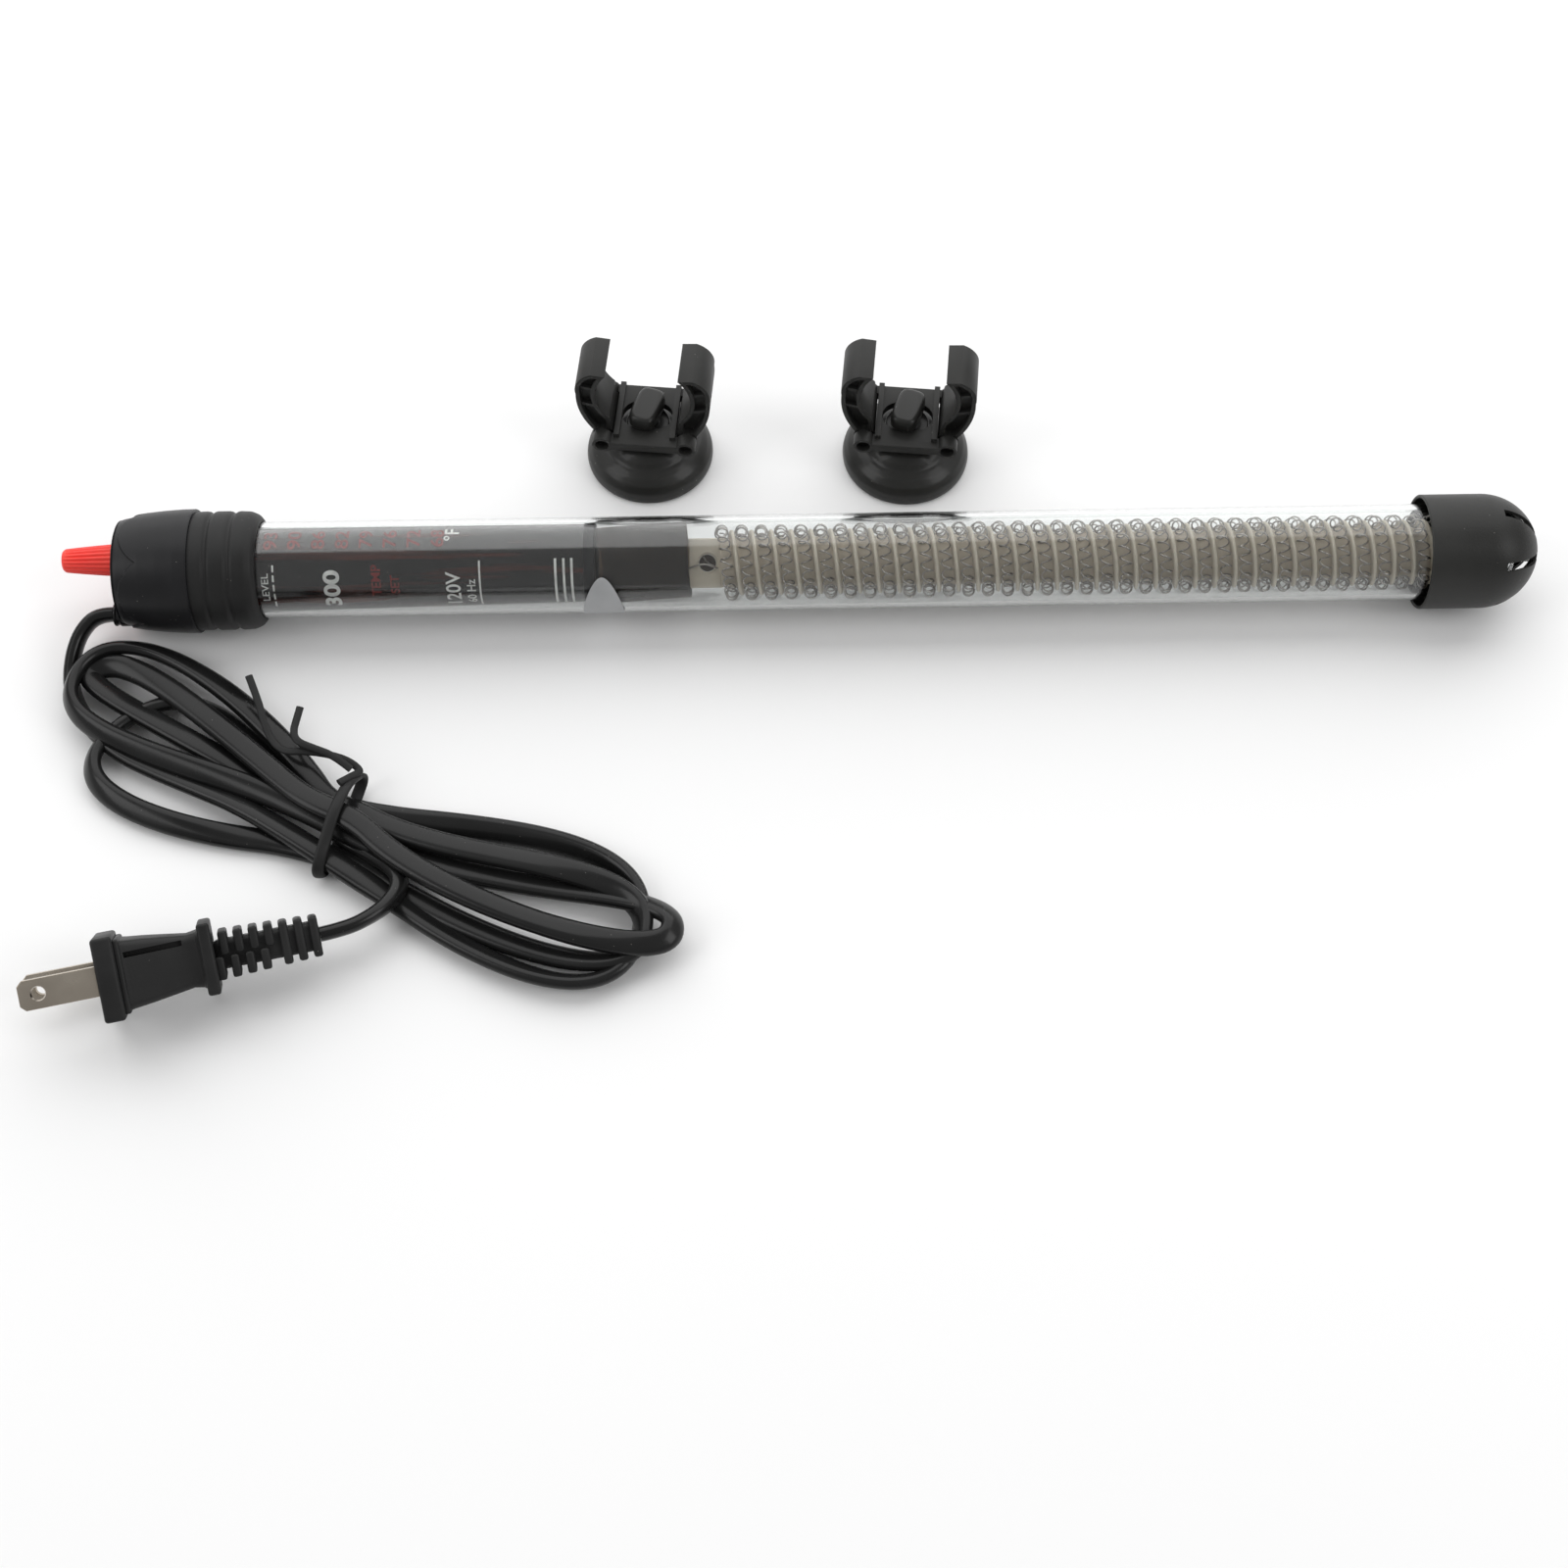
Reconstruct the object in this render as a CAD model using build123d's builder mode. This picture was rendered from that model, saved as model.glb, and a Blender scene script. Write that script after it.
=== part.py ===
"""Submersible aquarium heater with two suction-cup holders, a tied-up flat cord and a two-blade plug.

Frame: millimetres, +X along the glass tube from the head to the guard cap, +Z up.
The origin is on the tube's axis at the lip of the rubber head, where the bare glass begins.
"""
from build123d import *
from math import cos, sin, radians, tan, pi
import os

# glass tube and the floor it lies on
tube_r = 11.0            # outside radius of the glass
tube_wall = 1.15
tube_len = 288.0         # from the head's lip to the tip of the closed end
tube_in_head = 13.5      # glass hidden inside the rubber head
bore_r = tube_r - tube_wall

# head: hard cap, rubber sleeve, seal
cap_end_x = -32.5        # outer end face of the head cap
cap_skirt_x = -14.9      # where the cap meets the sleeve
cap_end_r = tube_r + 1.2
cap_skirt_r = tube_r + 3.2
cap_mid_r = tube_r + 2.5
cap_wall = 1.8
petal_count = 5
petal_step = 0.45        # how far the petals stand out of the cap
petal_r = 9.2
petal_reach = 1.5        # from the end face to the tip of a petal
petal_turn = 28.0        # angle of the first petal about the tube
sleeve_r = tube_r + 2.6
floor_z = -cap_skirt_r
glass_grip = 0.05        # clearance between rubber and glass

# knob, screw and pointer
head_roll = 35.0         # direction of the knob from the tube's axis, from +Y towards +Z
knob_offset = 2.8
knob_tip_x = -46.0
knob_base_r = 3.7
knob_tip_r = 2.45
knob_flutes = 20
flute_r = 0.32
knob_gap = 0.3           # between the knob and the cap's end face
screw_r = 1.5
run_gap = 0.05           # radial clearance of every running fit
screw_end_x = 52.0
pointer_x = 24.7         # rest place, at the 79 degree mark
pointer_len = 3.0
scale_first_x = 3.2
scale_last_x = 40.9

# gland and cord
gland_offset = tube_r - 1.4
gland_r = 2.8
gland_out = 2.1          # how far the gland stands out of the end face
cord_r = 2.15            # a round tube with the flat cord's section area
wire_r = 0.65
wire_spread = 1.1        # each wire's distance from the gland's axis

# thermostat housing and what it holds
housing_x0 = -2.4
housing_x1 = 73.8
housing_r0 = bore_r - 0.25
housing_r1 = bore_r - 1.0
housing_lift = 0.55      # the far end sits this far off the tube's axis
housing_wall = 0.8
ring_len = 2.6
board_thick = 1.0
board_width = 12.8

# smoky insulating sleeve
smoke_x0 = 76.6
smoke_x1 = 98.0
smoke_r = bore_r - 1.15
smoke_tilt = 3.4
smoke_wall = 0.3

# ceramic core and heating coil
core_x0 = 104.7
core_pitch = 4.54
core_tip_room = 10.5     # from the end of the core to the tip of the glass
core_turns = int((tube_len - core_tip_room - core_x0) / core_pitch)
core_root_r = bore_r - 4.15
fin_r = bore_r - 2.3
fin_thick = 0.95
core_bore_r = 1.1
tab_x0 = 97.5
tab_width = 2 * core_root_r - 0.1
tab_thick = 3.2
tab_hole_x = 101.8
spring_r = 1.5           # outside radius of the wound spring wire
spring_centre_r = core_root_r + spring_r + 0.1
empty_turns = 1          # turns of groove that the coil leaves empty at the far end

# guard cap
guard_cover = 22.2       # glass that the guard covers, up to its tip
guard_gap = 1.4          # between the guard's wall and the glass
guard_wall = 0.75
guard_nose = 4.9         # the nose's reach past the glass tip
guard_x0 = tube_len - guard_cover
guard_r = tube_r + guard_gap + guard_wall
guard_nose_x = tube_len + guard_nose
guard_slots = 6
slot_width = 2.0
slot_len = 9.9
slot_x0 = guard_nose_x - slot_len
slot_hub_r = 3.0
slot_turn = 37.0         # angle of the first slot about the tube
rib_thick = 1.0

# holders
holder_places = {"a": (87.7, 42.8), "b": (149.7, 41.2)}
holder_turn = -6.0
cup_r = 15.2
cup_hub_r = 5.2
plate_top = 15.0         # heights in a holder are above the floor
plate_thick = 2.0
plate_width = 14.6
plate_y0, plate_y1 = -7.3, 8.7
slot_long, slot_short = 12.1, 8.0
peg_neck_r = 2.4
head_long, head_wide, head_high = 11.2, 6.4, 4.0
head_turn = -10.0
head_gap = 0.35
hinge_x = plate_width / 2 + 2.65
hinge_z = 14.0
ring_r = 2.35
pin_r = 1.6
ring_y = ((-9.2, -6.0), (6.4, 8.7))
rail_wide, rail_high = 1.3, 1.2
pin_recess = 1.6         # the pin ends this far inside each ring
jaw_y0, jaw_y1 = -5.5, 6.0
grip_z = tube_r + 16.3            # height of the held tube's axis
grip_gap = 0.2
knuckle_r = 2.5

# plug
plug_at = (-25.75, -102.65, -1.0)
plug_heading = 194.25
plug_rise = 4.7
plug_roll = 57.0
flange_w, flange_h, flange_t = 18.6, 17.8, 4.4
rear_w, rear_h, rear_t = 16.0, 15.2, 2.7
body_len = 17.0
relief_len = 22.0
blade_len, blade_w, blade_t = 16.0, 6.35, 1.5
blade_gap = 12.7
blade_hole_r = 1.6
blade_seat = 3.6         # blade length held in the plug

os.makedirs("parts", exist_ok=True)
pieces = {}


def keep(name, part):
    """Label one finished piece and write it to its own file."""
    part.label = name
    pieces[name] = part
    export_step(part, f"parts/{name}.step")


def across(x, away=0.0, angle=head_roll):
    """A plane square to the tube at x, with its origin moved off the axis at an angle from +Y towards +Z."""
    y, z = away * cos(radians(angle)), away * sin(radians(angle))
    return Plane(origin=(x, y, z), x_dir=(0, 1, 0), z_dir=(1, 0, 0))


def radial(x, angle):
    """A plane on the tube's axis at x that faces outwards at an angle from -Y towards +Z."""
    out = (0, -cos(radians(angle)), sin(radians(angle)))
    return Plane(origin=(x, 0, 0), x_dir=(1, 0, 0), z_dir=out)


# ---------------------------------------------------------------- glass tube
tip_x = tube_len
glass_end_x = tip_x - tube_r

with BuildPart() as glass_tube:
    with BuildSketch(Plane.XY):
        with BuildLine():
            Polyline((-tube_in_head, bore_r), (-tube_in_head, tube_r), (glass_end_x, tube_r))
            RadiusArc((glass_end_x, tube_r), (tip_x, 0), tube_r)
            Line((tip_x, 0), (tip_x - tube_wall, 0))
            RadiusArc((tip_x - tube_wall, 0), (glass_end_x, bore_r), -bore_r)
            Line((glass_end_x, bore_r), (-tube_in_head, bore_r))
        make_face()
    revolve(axis=Axis.X)
keep("glass_tube", glass_tube.part)

# ---------------------------------------------------------------- head cap with its five petals
cap_low = [
    (cap_end_x, 0), (cap_end_x, cap_end_r - 0.8), (cap_end_x + 0.8, cap_end_r),
    (cap_end_x + 2.5, cap_end_r + 0.6), (-24.0, cap_mid_r), (-18.5, cap_skirt_r - 0.05),
    (cap_skirt_x, cap_skirt_r), (cap_skirt_x, cap_skirt_r - cap_wall),
    (-24.0, cap_mid_r - cap_wall), (cap_end_x + 5.0, cap_end_r - cap_wall), (cap_end_x + 5.0, 0),
]

with BuildPart() as petal_cutter:
    with BuildSketch(Plane.XY):
        with BuildLine():
            Polyline((cap_end_x - 1, cap_end_r - petal_step), (cap_end_x + 2.5, cap_end_r + 0.6 - petal_step),
                     (-24.0, cap_mid_r - petal_step), (-24.0, cap_skirt_r + 2), (cap_end_x - 1, cap_skirt_r + 2),
                     close=True)
        make_face()
    revolve(axis=Axis.X)
    for k in range(petal_count):
        petal_plane = radial(cap_end_x + petal_reach + petal_r, petal_turn + k * 360 / petal_count)
        with BuildSketch(petal_plane):
            Circle(petal_r)
        extrude(amount=cap_skirt_r + 3, mode=Mode.SUBTRACT)

with BuildPart() as head_cap:
    with BuildSketch(Plane.XY):
        with BuildLine():
            Polyline(*cap_low, close=True)
        make_face()
    revolve(axis=Axis.X)
    add(petal_cutter.part, mode=Mode.SUBTRACT)
    with BuildSketch(across(cap_end_x - 1, knob_offset)):
        Circle(screw_r + run_gap)
    extrude(amount=8, mode=Mode.SUBTRACT)
    with BuildSketch(across(cap_end_x - 1, -gland_offset)):
        Circle(gland_r)
    extrude(amount=8, mode=Mode.SUBTRACT)
keep("head_cap", head_cap.part)

# ---------------------------------------------------------------- rubber sleeve that grips the glass
band_groove = 0.5
sleeve_x0 = cap_skirt_x + 0.05
with BuildPart() as head_sleeve:
    with BuildSketch(Plane.XY):
        with BuildLine():
            top = Polyline((sleeve_x0, sleeve_r), (-11.7, sleeve_r), (-11.1, sleeve_r - band_groove),
                           (-10.2, sleeve_r), (-6.8, sleeve_r), (-6.0, sleeve_r - band_groove),
                           (-5.2, sleeve_r), (-2.6, sleeve_r - 0.2))
            lip = ThreePointArc((-2.6, sleeve_r - 0.2), (-0.9, sleeve_r - 1.0), (0, tube_r + 0.6))
            Polyline((0, tube_r + 0.6), (0, tube_r + glass_grip), (sleeve_x0, tube_r + glass_grip),
                     (sleeve_x0, sleeve_r))
        make_face()
    revolve(axis=Axis.X)
keep("head_sleeve", head_sleeve.part)

# ---------------------------------------------------------------- rubber seal plug in the tube's mouth
plug_face_x = cap_end_x + 5.05
seal_flange_r = tube_r + 0.4
with BuildPart() as seal_plug:
    with BuildSketch(Plane.XY):
        with BuildLine():
            Polyline((plug_face_x, 0), (plug_face_x, seal_flange_r - 1.8), (-22.0, seal_flange_r - 0.5),
                     (-tube_in_head - 0.05, seal_flange_r - 0.5), (-tube_in_head - 0.05, bore_r - glass_grip),
                     (housing_x0 - 0.4, bore_r - glass_grip), (housing_x0 - 0.4, 0), close=True)
        make_face()
    revolve(axis=Axis.X)
    with BuildSketch(across(plug_face_x - 1, knob_offset)):
        Circle(screw_r + run_gap)
    extrude(amount=40, mode=Mode.SUBTRACT)
    with BuildSketch(across(plug_face_x - 1, -gland_offset)):
        with GridLocations(2 * wire_spread, 0, 2, 1):
            Circle(wire_r + 0.05)
    extrude(amount=15, mode=Mode.SUBTRACT)
    with BuildSketch(across(-19.0, -gland_offset + 3.0)):
        SlotOverall(9.0, 4.6, rotation=head_roll)
    extrude(amount=20, mode=Mode.SUBTRACT)
keep("seal_plug", seal_plug.part)

# ---------------------------------------------------------------- knob, screw, its O-ring and the pointer
with BuildPart() as adjusting_knob:
    with BuildSketch(across(knob_tip_x, knob_offset)):
        Circle(knob_tip_r)
    with BuildSketch(across(cap_end_x - knob_gap, knob_offset)):
        Circle(knob_base_r)
    loft()
    fillet(adjusting_knob.faces().sort_by(Axis.X)[0].edges(), 0.7)
    for k in range(knob_flutes):
        turn = radians(k * 360 / knob_flutes)
        knob_axis = across(cap_end_x - knob_gap + 0.1, knob_offset)
        near = knob_axis.from_local_coords((knob_base_r * cos(turn), knob_base_r * sin(turn), 0))
        far = across(knob_tip_x + 0.9, knob_offset).from_local_coords(
            (knob_tip_r * cos(turn), knob_tip_r * sin(turn), 0))
        with BuildSketch(Plane(origin=near, z_dir=far - near)):
            Circle(flute_r)
        extrude(amount=(far - near).length + 2, mode=Mode.SUBTRACT)
    with BuildSketch(across(cap_end_x - knob_gap, knob_offset)):
        Circle(screw_r)
    extrude(amount=-9, mode=Mode.SUBTRACT)
keep("adjusting_knob", adjusting_knob.part)

with BuildPart() as adjusting_screw:
    with BuildSketch(across(cap_end_x - knob_gap - 9, knob_offset)):
        Circle(screw_r)
    extrude(amount=screw_end_x - cap_end_x + knob_gap + 9)
    chamfer(adjusting_screw.faces().sort_by(Axis.X)[-1].edges(), 0.4)
keep("adjusting_screw", adjusting_screw.part)

with BuildPart() as temperature_pointer:
    with BuildSketch(across(pointer_x - pointer_len / 2, knob_offset)):
        Circle(screw_r + 1.1)
        Circle(screw_r + run_gap, mode=Mode.SUBTRACT)
    extrude(amount=pointer_len)
    with BuildSketch(across(pointer_x - 0.5, knob_offset + screw_r + 2.2)):
        Rectangle(2.6, 1.0, rotation=head_roll)
    extrude(amount=1.0)
keep("temperature_pointer", temperature_pointer.part)

# ---------------------------------------------------------------- cord gland in the end face
gland_x0 = cap_end_x - gland_out
with BuildPart() as cord_gland:
    with BuildSketch(across(gland_x0, -gland_offset)):
        Circle(gland_r - 0.35)
    with BuildSketch(across(cap_end_x, -gland_offset)):
        Circle(gland_r - 0.02)
    loft()
    with BuildSketch(across(cap_end_x, -gland_offset)):
        Circle(gland_r - 0.02)
    extrude(amount=5.0)
    with BuildSketch(across(gland_x0 - 1, -gland_offset)):
        with GridLocations(2 * wire_spread, 0, 2, 1):
            Circle(wire_r + 0.05)
    extrude(amount=12, mode=Mode.SUBTRACT)
keep("cord_gland", cord_gland.part)

# ---------------------------------------------------------------- printed thermostat housing and end ring
def housing_plane(x):
    """The housing's section plane at x: its centre drifts off the tube's axis towards the far end."""
    share = (x - housing_x0) / (housing_x1 - housing_x0)
    return across(x, housing_lift * share)


def housing_r(x):
    """The housing's outside radius at x."""
    share = (x - housing_x0) / (housing_x1 - housing_x0)
    return housing_r0 + (housing_r1 - housing_r0) * share


with BuildPart() as thermostat_housing:
    with BuildSketch(housing_plane(housing_x0)):
        Circle(housing_r(housing_x0))
    with BuildSketch(housing_plane(housing_x1)):
        Circle(housing_r(housing_x1))
    loft()
    with BuildSketch(housing_plane(housing_x0)):
        Circle(housing_r(housing_x0) - housing_wall)
    with BuildSketch(housing_plane(housing_x1)):
        Circle(housing_r(housing_x1) - housing_wall)
    loft(mode=Mode.SUBTRACT)
keep("thermostat_housing", thermostat_housing.part)

with BuildPart() as housing_end_ring:
    with BuildSketch(housing_plane(housing_x1)):
        Circle(housing_r1 + 0.2)
        Circle(housing_r1 - housing_wall - 1.2, mode=Mode.SUBTRACT)
    extrude(amount=ring_len)
    fillet(housing_end_ring.edges().filter_by(GeomType.CIRCLE).sort_by(SortBy.RADIUS)[-2:], 0.3)
keep("housing_end_ring", housing_end_ring.part)

# ---------------------------------------------------------------- thermostat works inside the housing
works_x0, works_x1 = 2.0, 70.0
board_drop = -3.4        # the board lies this far from the axis, away from the screw


def works(x, aside, up):
    """A plane square to the tube at x; up is towards the screw and aside is square to it."""
    turn = radians(head_roll)
    origin = (x, up * cos(turn) - aside * sin(turn), up * sin(turn) + aside * cos(turn))
    return Plane(origin=origin, x_dir=(0, cos(turn), sin(turn)), z_dir=(1, 0, 0))


def bar(name, x0, x1, aside, up, thick, width):
    """A straight bar along the tube: thick is towards the screw, width is square to it."""
    with BuildPart() as piece:
        with BuildSketch(works(x0, aside, up)):
            Rectangle(thick, width)
        extrude(amount=x1 - x0)
    keep(name, piece.part)


def drum(name, x0, x1, aside, up, radius):
    """A round piece that lies along the tube."""
    with BuildPart() as piece:
        with BuildSketch(works(x0, aside, up)):
            Circle(radius)
        extrude(amount=x1 - x0)
        fillet(piece.edges(), radius / 4)
    keep(name, piece.part)


board_top = board_drop + board_thick / 2
bar("thermostat_board", works_x0, works_x1, 0, board_drop, board_thick, board_width)
bar("bimetal_strip", 10.0, 58.0, 3.4, board_top + 2.2, 0.4, 3.0)
bar("bimetal_anchor", 5.0, 10.0, 3.4, board_top + 1.35, 2.6, 3.6)
bar("contact_arm", 12.0, 58.0, -3.4, board_top + 1.3, 0.4, 3.0)
bar("contact_arm_anchor", 7.0, 12.0, -3.4, board_top + 1.05, 2.0, 3.6)
bar("snap_magnet", 60.0, 64.0, 3.4, board_top + 1.5, 2.9, 3.6)
drum("filter_capacitor", 46.0, 57.0, 0, board_drop - 2.2, 1.6)
drum("pilot_lamp", 60.0, 69.0, -3.4, board_top + 1.9, 1.8)
drum("lamp_resistor", 22.0, 30.0, 0, board_drop - 2.0, 1.3)

for name, aside, up in (("moving_contact", 3.4, board_top + 1.6), ("fixed_contact", -3.4, board_top + 1.9)):
    with BuildPart() as contact:
        with BuildSketch(works(55.0, aside, up)):
            Rectangle(0.78, 2.0)
        extrude(amount=2.0)
    keep(name, contact.part)

for side, pole in ((-1, "live"), (1, "neutral")):
    with BuildPart() as lead_wire:
        with BuildSketch(across(gland_x0 + 0.1, -gland_offset)):
            with Locations((side * wire_spread, 0)):
                Circle(wire_r)
        extrude(amount=-19.2 - gland_x0)
    keep(f"lead_wire_{pole}", lead_wire.part)
    with BuildPart() as board_lead:
        with BuildSketch(works(-18.8, side * 1.5, board_drop - 1.35)):
            Circle(wire_r)
        extrude(amount=29.0)
    keep(f"board_lead_{pole}", board_lead.part)

# ---------------------------------------------------------------- smoky insulating sleeve
smoke_mid = (smoke_x0 + smoke_x1) / 2
smoke_len = (smoke_x1 - smoke_x0) * cos(radians(smoke_tilt))
up_y, up_z = cos(radians(head_roll)), sin(radians(head_roll))
smoke_axis = (cos(radians(smoke_tilt)), up_y * sin(radians(smoke_tilt)), up_z * sin(radians(smoke_tilt)))
with BuildPart() as insulating_sleeve:
    with BuildSketch(Plane(origin=(smoke_mid, 0.35 * up_y, 0.35 * up_z), z_dir=smoke_axis)):
        Circle(smoke_r)
        Circle(smoke_r - smoke_wall, mode=Mode.SUBTRACT)
    extrude(amount=smoke_len / 2 - 0.4, both=True)
keep("insulating_sleeve", insulating_sleeve.part)

# ---------------------------------------------------------------- ceramic core with its helical fin
core_len = core_pitch * core_turns
core_x1 = core_x0 + core_len
with BuildPart() as ceramic_core:
    with BuildSketch(across(core_x0)):
        Circle(core_root_r)
    extrude(amount=core_len)
    fin_path = Helix(core_pitch, core_len - core_pitch, core_root_r, center=(core_x0 + core_pitch / 2, 0, 0),
                     direction=(1, 0, 0))
    fin_start = fin_path @ 0
    fin_out = Vector(0, fin_start.Y, fin_start.Z).normalized()
    with BuildSketch(Plane(origin=fin_start, x_dir=fin_out, z_dir=fin_path % 0)):
        with Locations((-0.4, 0)):
            Rectangle(fin_r - core_root_r + 0.4, fin_thick, align=(Align.MIN, Align.CENTER))
    sweep(path=fin_path, is_frenet=True)
    with BuildSketch(works(tab_x0, 0, 0)):
        Rectangle(tab_width, tab_thick)
    extrude(amount=core_x0 - tab_x0 + 0.5)
    with BuildSketch(radial(tab_hole_x, 90 - head_roll)):
        Circle(2.4)
    extrude(amount=20, both=True, mode=Mode.SUBTRACT)
    with BuildSketch(across(tab_hole_x)):
        Circle(core_bore_r)
    extrude(amount=core_len + 20, mode=Mode.SUBTRACT)
keep("ceramic_core", ceramic_core.part)

# ---------------------------------------------------------------- heating coil wound in the fin's groove
with BuildPart() as heating_coil:
    coil_len = (core_turns - empty_turns) * core_pitch
    coil_path = Helix(core_pitch, coil_len, spring_centre_r, direction=(1, 0, 0),
                      center=(core_x0, 0, 0))
    coil_start = coil_path @ 0
    coil_out = Vector(0, coil_start.Y, coil_start.Z).normalized()
    with BuildSketch(Plane(origin=coil_start, x_dir=coil_out, z_dir=coil_path % 0)):
        Circle(spring_r)
    sweep(path=coil_path, is_frenet=True)
keep("heating_coil", heating_coil.part)

with BuildPart() as return_wire:
    with BuildSketch(across(tab_hole_x + 3)):
        Circle(0.5)
    extrude(amount=core_x1 + 2 - tab_hole_x - 3)
keep("return_wire", return_wire.part)

with BuildPart() as core_end_disc:
    with BuildSketch(across(core_x1 + 0.1)):
        Circle(bore_r - 0.35)
        Circle(0.55, mode=Mode.SUBTRACT)
    extrude(amount=1.2)
keep("core_end_disc", core_end_disc.part)

# ---------------------------------------------------------------- rating sticker, low on the front of the glass
sticker_turn = -20.0     # direction that the sticker's middle faces
sticker_half_high = 9.5
with BuildPart() as tube_sticker:
    with BuildSketch(across(72.0)):
        Circle(tube_r + 0.12)
        Circle(tube_r + 0.01, mode=Mode.SUBTRACT)
    extrude(amount=12)
    with BuildSketch(radial(78.0, sticker_turn)):
        Ellipse(4.7, sticker_half_high)
    extrude(amount=20, mode=Mode.INTERSECT)
keep("tube_sticker", tube_sticker.part)

# ---------------------------------------------------------------- guard cap and the pad behind the glass tip
guard_bend_x = guard_nose_x - guard_r
inner_r = guard_r - guard_wall
with BuildPart() as guard_cap:
    with BuildSketch(Plane.XY):
        with BuildLine():
            Polyline((guard_x0, inner_r), (guard_x0, guard_r), (guard_bend_x, guard_r))
            RadiusArc((guard_bend_x, guard_r), (guard_nose_x, 0), guard_r)
            Line((guard_nose_x, 0), (guard_nose_x - guard_wall, 0))
            RadiusArc((guard_nose_x - guard_wall, 0), (guard_bend_x, inner_r), -inner_r)
            Line((guard_bend_x, inner_r), (guard_x0, inner_r))
        make_face()
    revolve(axis=Axis.X)
    for k in range(guard_slots):
        slot_angle = slot_turn + k * 360 / guard_slots
        with BuildSketch(radial((slot_x0 + guard_nose_x + 2) / 2, slot_angle).offset(slot_hub_r)):
            Rectangle(guard_nose_x + 2 - slot_x0, slot_width)
        extrude(amount=guard_r, mode=Mode.SUBTRACT)
    for k in range(guard_slots):
        rib_angle = slot_turn + (k + 0.5) * 360 / guard_slots
        with BuildSketch(radial((guard_x0 + 3 + glass_end_x) / 2, rib_angle).offset(tube_r + glass_grip)):
            Rectangle(glass_end_x - guard_x0 - 3, rib_thick)
        extrude(amount=inner_r - tube_r - glass_grip + 0.3)
keep("guard_cap", guard_cap.part)

with BuildPart() as tip_pad:
    with BuildSketch(Plane.XY):
        with BuildLine():
            pad_x1 = guard_nose_x - guard_wall - 0.9
            Polyline((tip_x + 0.05, 0), (tip_x + 0.05, 2.6), (pad_x1, 2.6), (pad_x1 + 0.75, 0), close=True)
        make_face()
    revolve(axis=Axis.X)
keep("tip_pad", tip_pad.part)


# ---------------------------------------------------------------- suction-cup holders
def jaw_outline():
    """The left jaw's outline across the tube: a thick claw whose inner side fits round the glass."""
    grip_r = tube_r + grip_gap
    tip = (grip_r * cos(radians(139)), grip_z + grip_r * sin(radians(139)))
    back = (-grip_r, grip_z)
    low = (grip_r * cos(radians(222)), grip_z + grip_r * sin(radians(222)))
    lug_x = -plate_width / 2 - 0.8
    heel = (-hinge_x - 2.25, hinge_z + 0.9)
    side = (-tube_r - 4.7, grip_z + 0.7)
    top = (-tube_r - 0.8, grip_z + 7.7)
    with BuildLine() as outline:
        ThreePointArc(tip, back, low)
        Polyline(low, (lug_x, grip_z - 8.9), (lug_x, hinge_z + 1.2), (-hinge_x, hinge_z), heel)
        ThreePointArc(heel, (-hinge_x - 4.75, hinge_z + 6.0), side)
        ThreePointArc(side, (-tube_r - 3.9, grip_z + 5.1), top)
        Line(top, tip)
    return outline.edges()


def make_cup():
    """The rubber suction cup with its hub and the quarter-turn head that locks the bracket."""
    with BuildPart() as cup:
        with BuildSketch(Plane.XZ):
            with BuildLine():
                Polyline((cup_r - 1.0, 0), (cup_r, 0))
                ThreePointArc((cup_r, 0), (cup_r + 0.1, 2.0), (cup_r - 1.2, 4.6))
                ThreePointArc((cup_r - 1.2, 4.6), (cup_r - 2.6, 6.0), (cup_r - 4.2, 6.8))
                Polyline((cup_r - 4.2, 6.8), (cup_r - 4.9, 7.2), (8.2, 9.4), (cup_hub_r, 10.2),
                         (cup_hub_r, plate_top - plate_thick - head_gap),
                         (peg_neck_r, plate_top - plate_thick - head_gap), (peg_neck_r, plate_top + head_gap),
                         (0, plate_top + head_gap), (0, 3.6))
                ThreePointArc((0, 3.6), (8.0, 2.4), (cup_r - 1.0, 0))
            make_face()
        revolve(axis=Axis.Z)
        with BuildSketch(Plane.XY.offset(plate_top + head_gap)):
            Rectangle(head_wide, head_long, rotation=head_turn)
            fillet(vertices(), 1.6)
        extrude(amount=head_high)
        fillet(faces().sort_by(Axis.Z)[-1].edges(), 0.8)
    return cup.part


def make_bracket():
    """The bracket: a slotted plate between two bars that carry the hinge rings."""
    with BuildPart() as bracket:
        with BuildSketch(Plane.XY.offset(plate_top - plate_thick)):
            with Locations((0, (plate_y0 + plate_y1) / 2)):
                Rectangle(plate_width, plate_y1 - plate_y0)
            SlotOverall(slot_long, slot_short, mode=Mode.SUBTRACT)
        extrude(amount=plate_thick)
        with BuildSketch(Plane.XY.offset(plate_top)):
            with Locations((0, (plate_y0 + plate_y1) / 2)):
                with GridLocations(plate_width - rail_wide, 0, 2, 1):
                    Rectangle(rail_wide, plate_y1 - plate_y0)
        extrude(amount=rail_high)
        for y0, y1 in ring_y:
            with BuildSketch(Plane.XZ.offset(-y0)):
                with Locations((0, hinge_z - 0.2)):
                    Rectangle(2 * hinge_x, 2.4)
                with Locations((-hinge_x, hinge_z), (hinge_x, hinge_z)):
                    Circle(ring_r)
            extrude(amount=-(y1 - y0))
            with BuildSketch(Plane.XZ.offset(-y0)):
                with Locations((-hinge_x, hinge_z), (hinge_x, hinge_z)):
                    Circle(pin_r + run_gap)
            extrude(amount=-(y1 - y0), mode=Mode.SUBTRACT)
    return bracket.part


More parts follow.
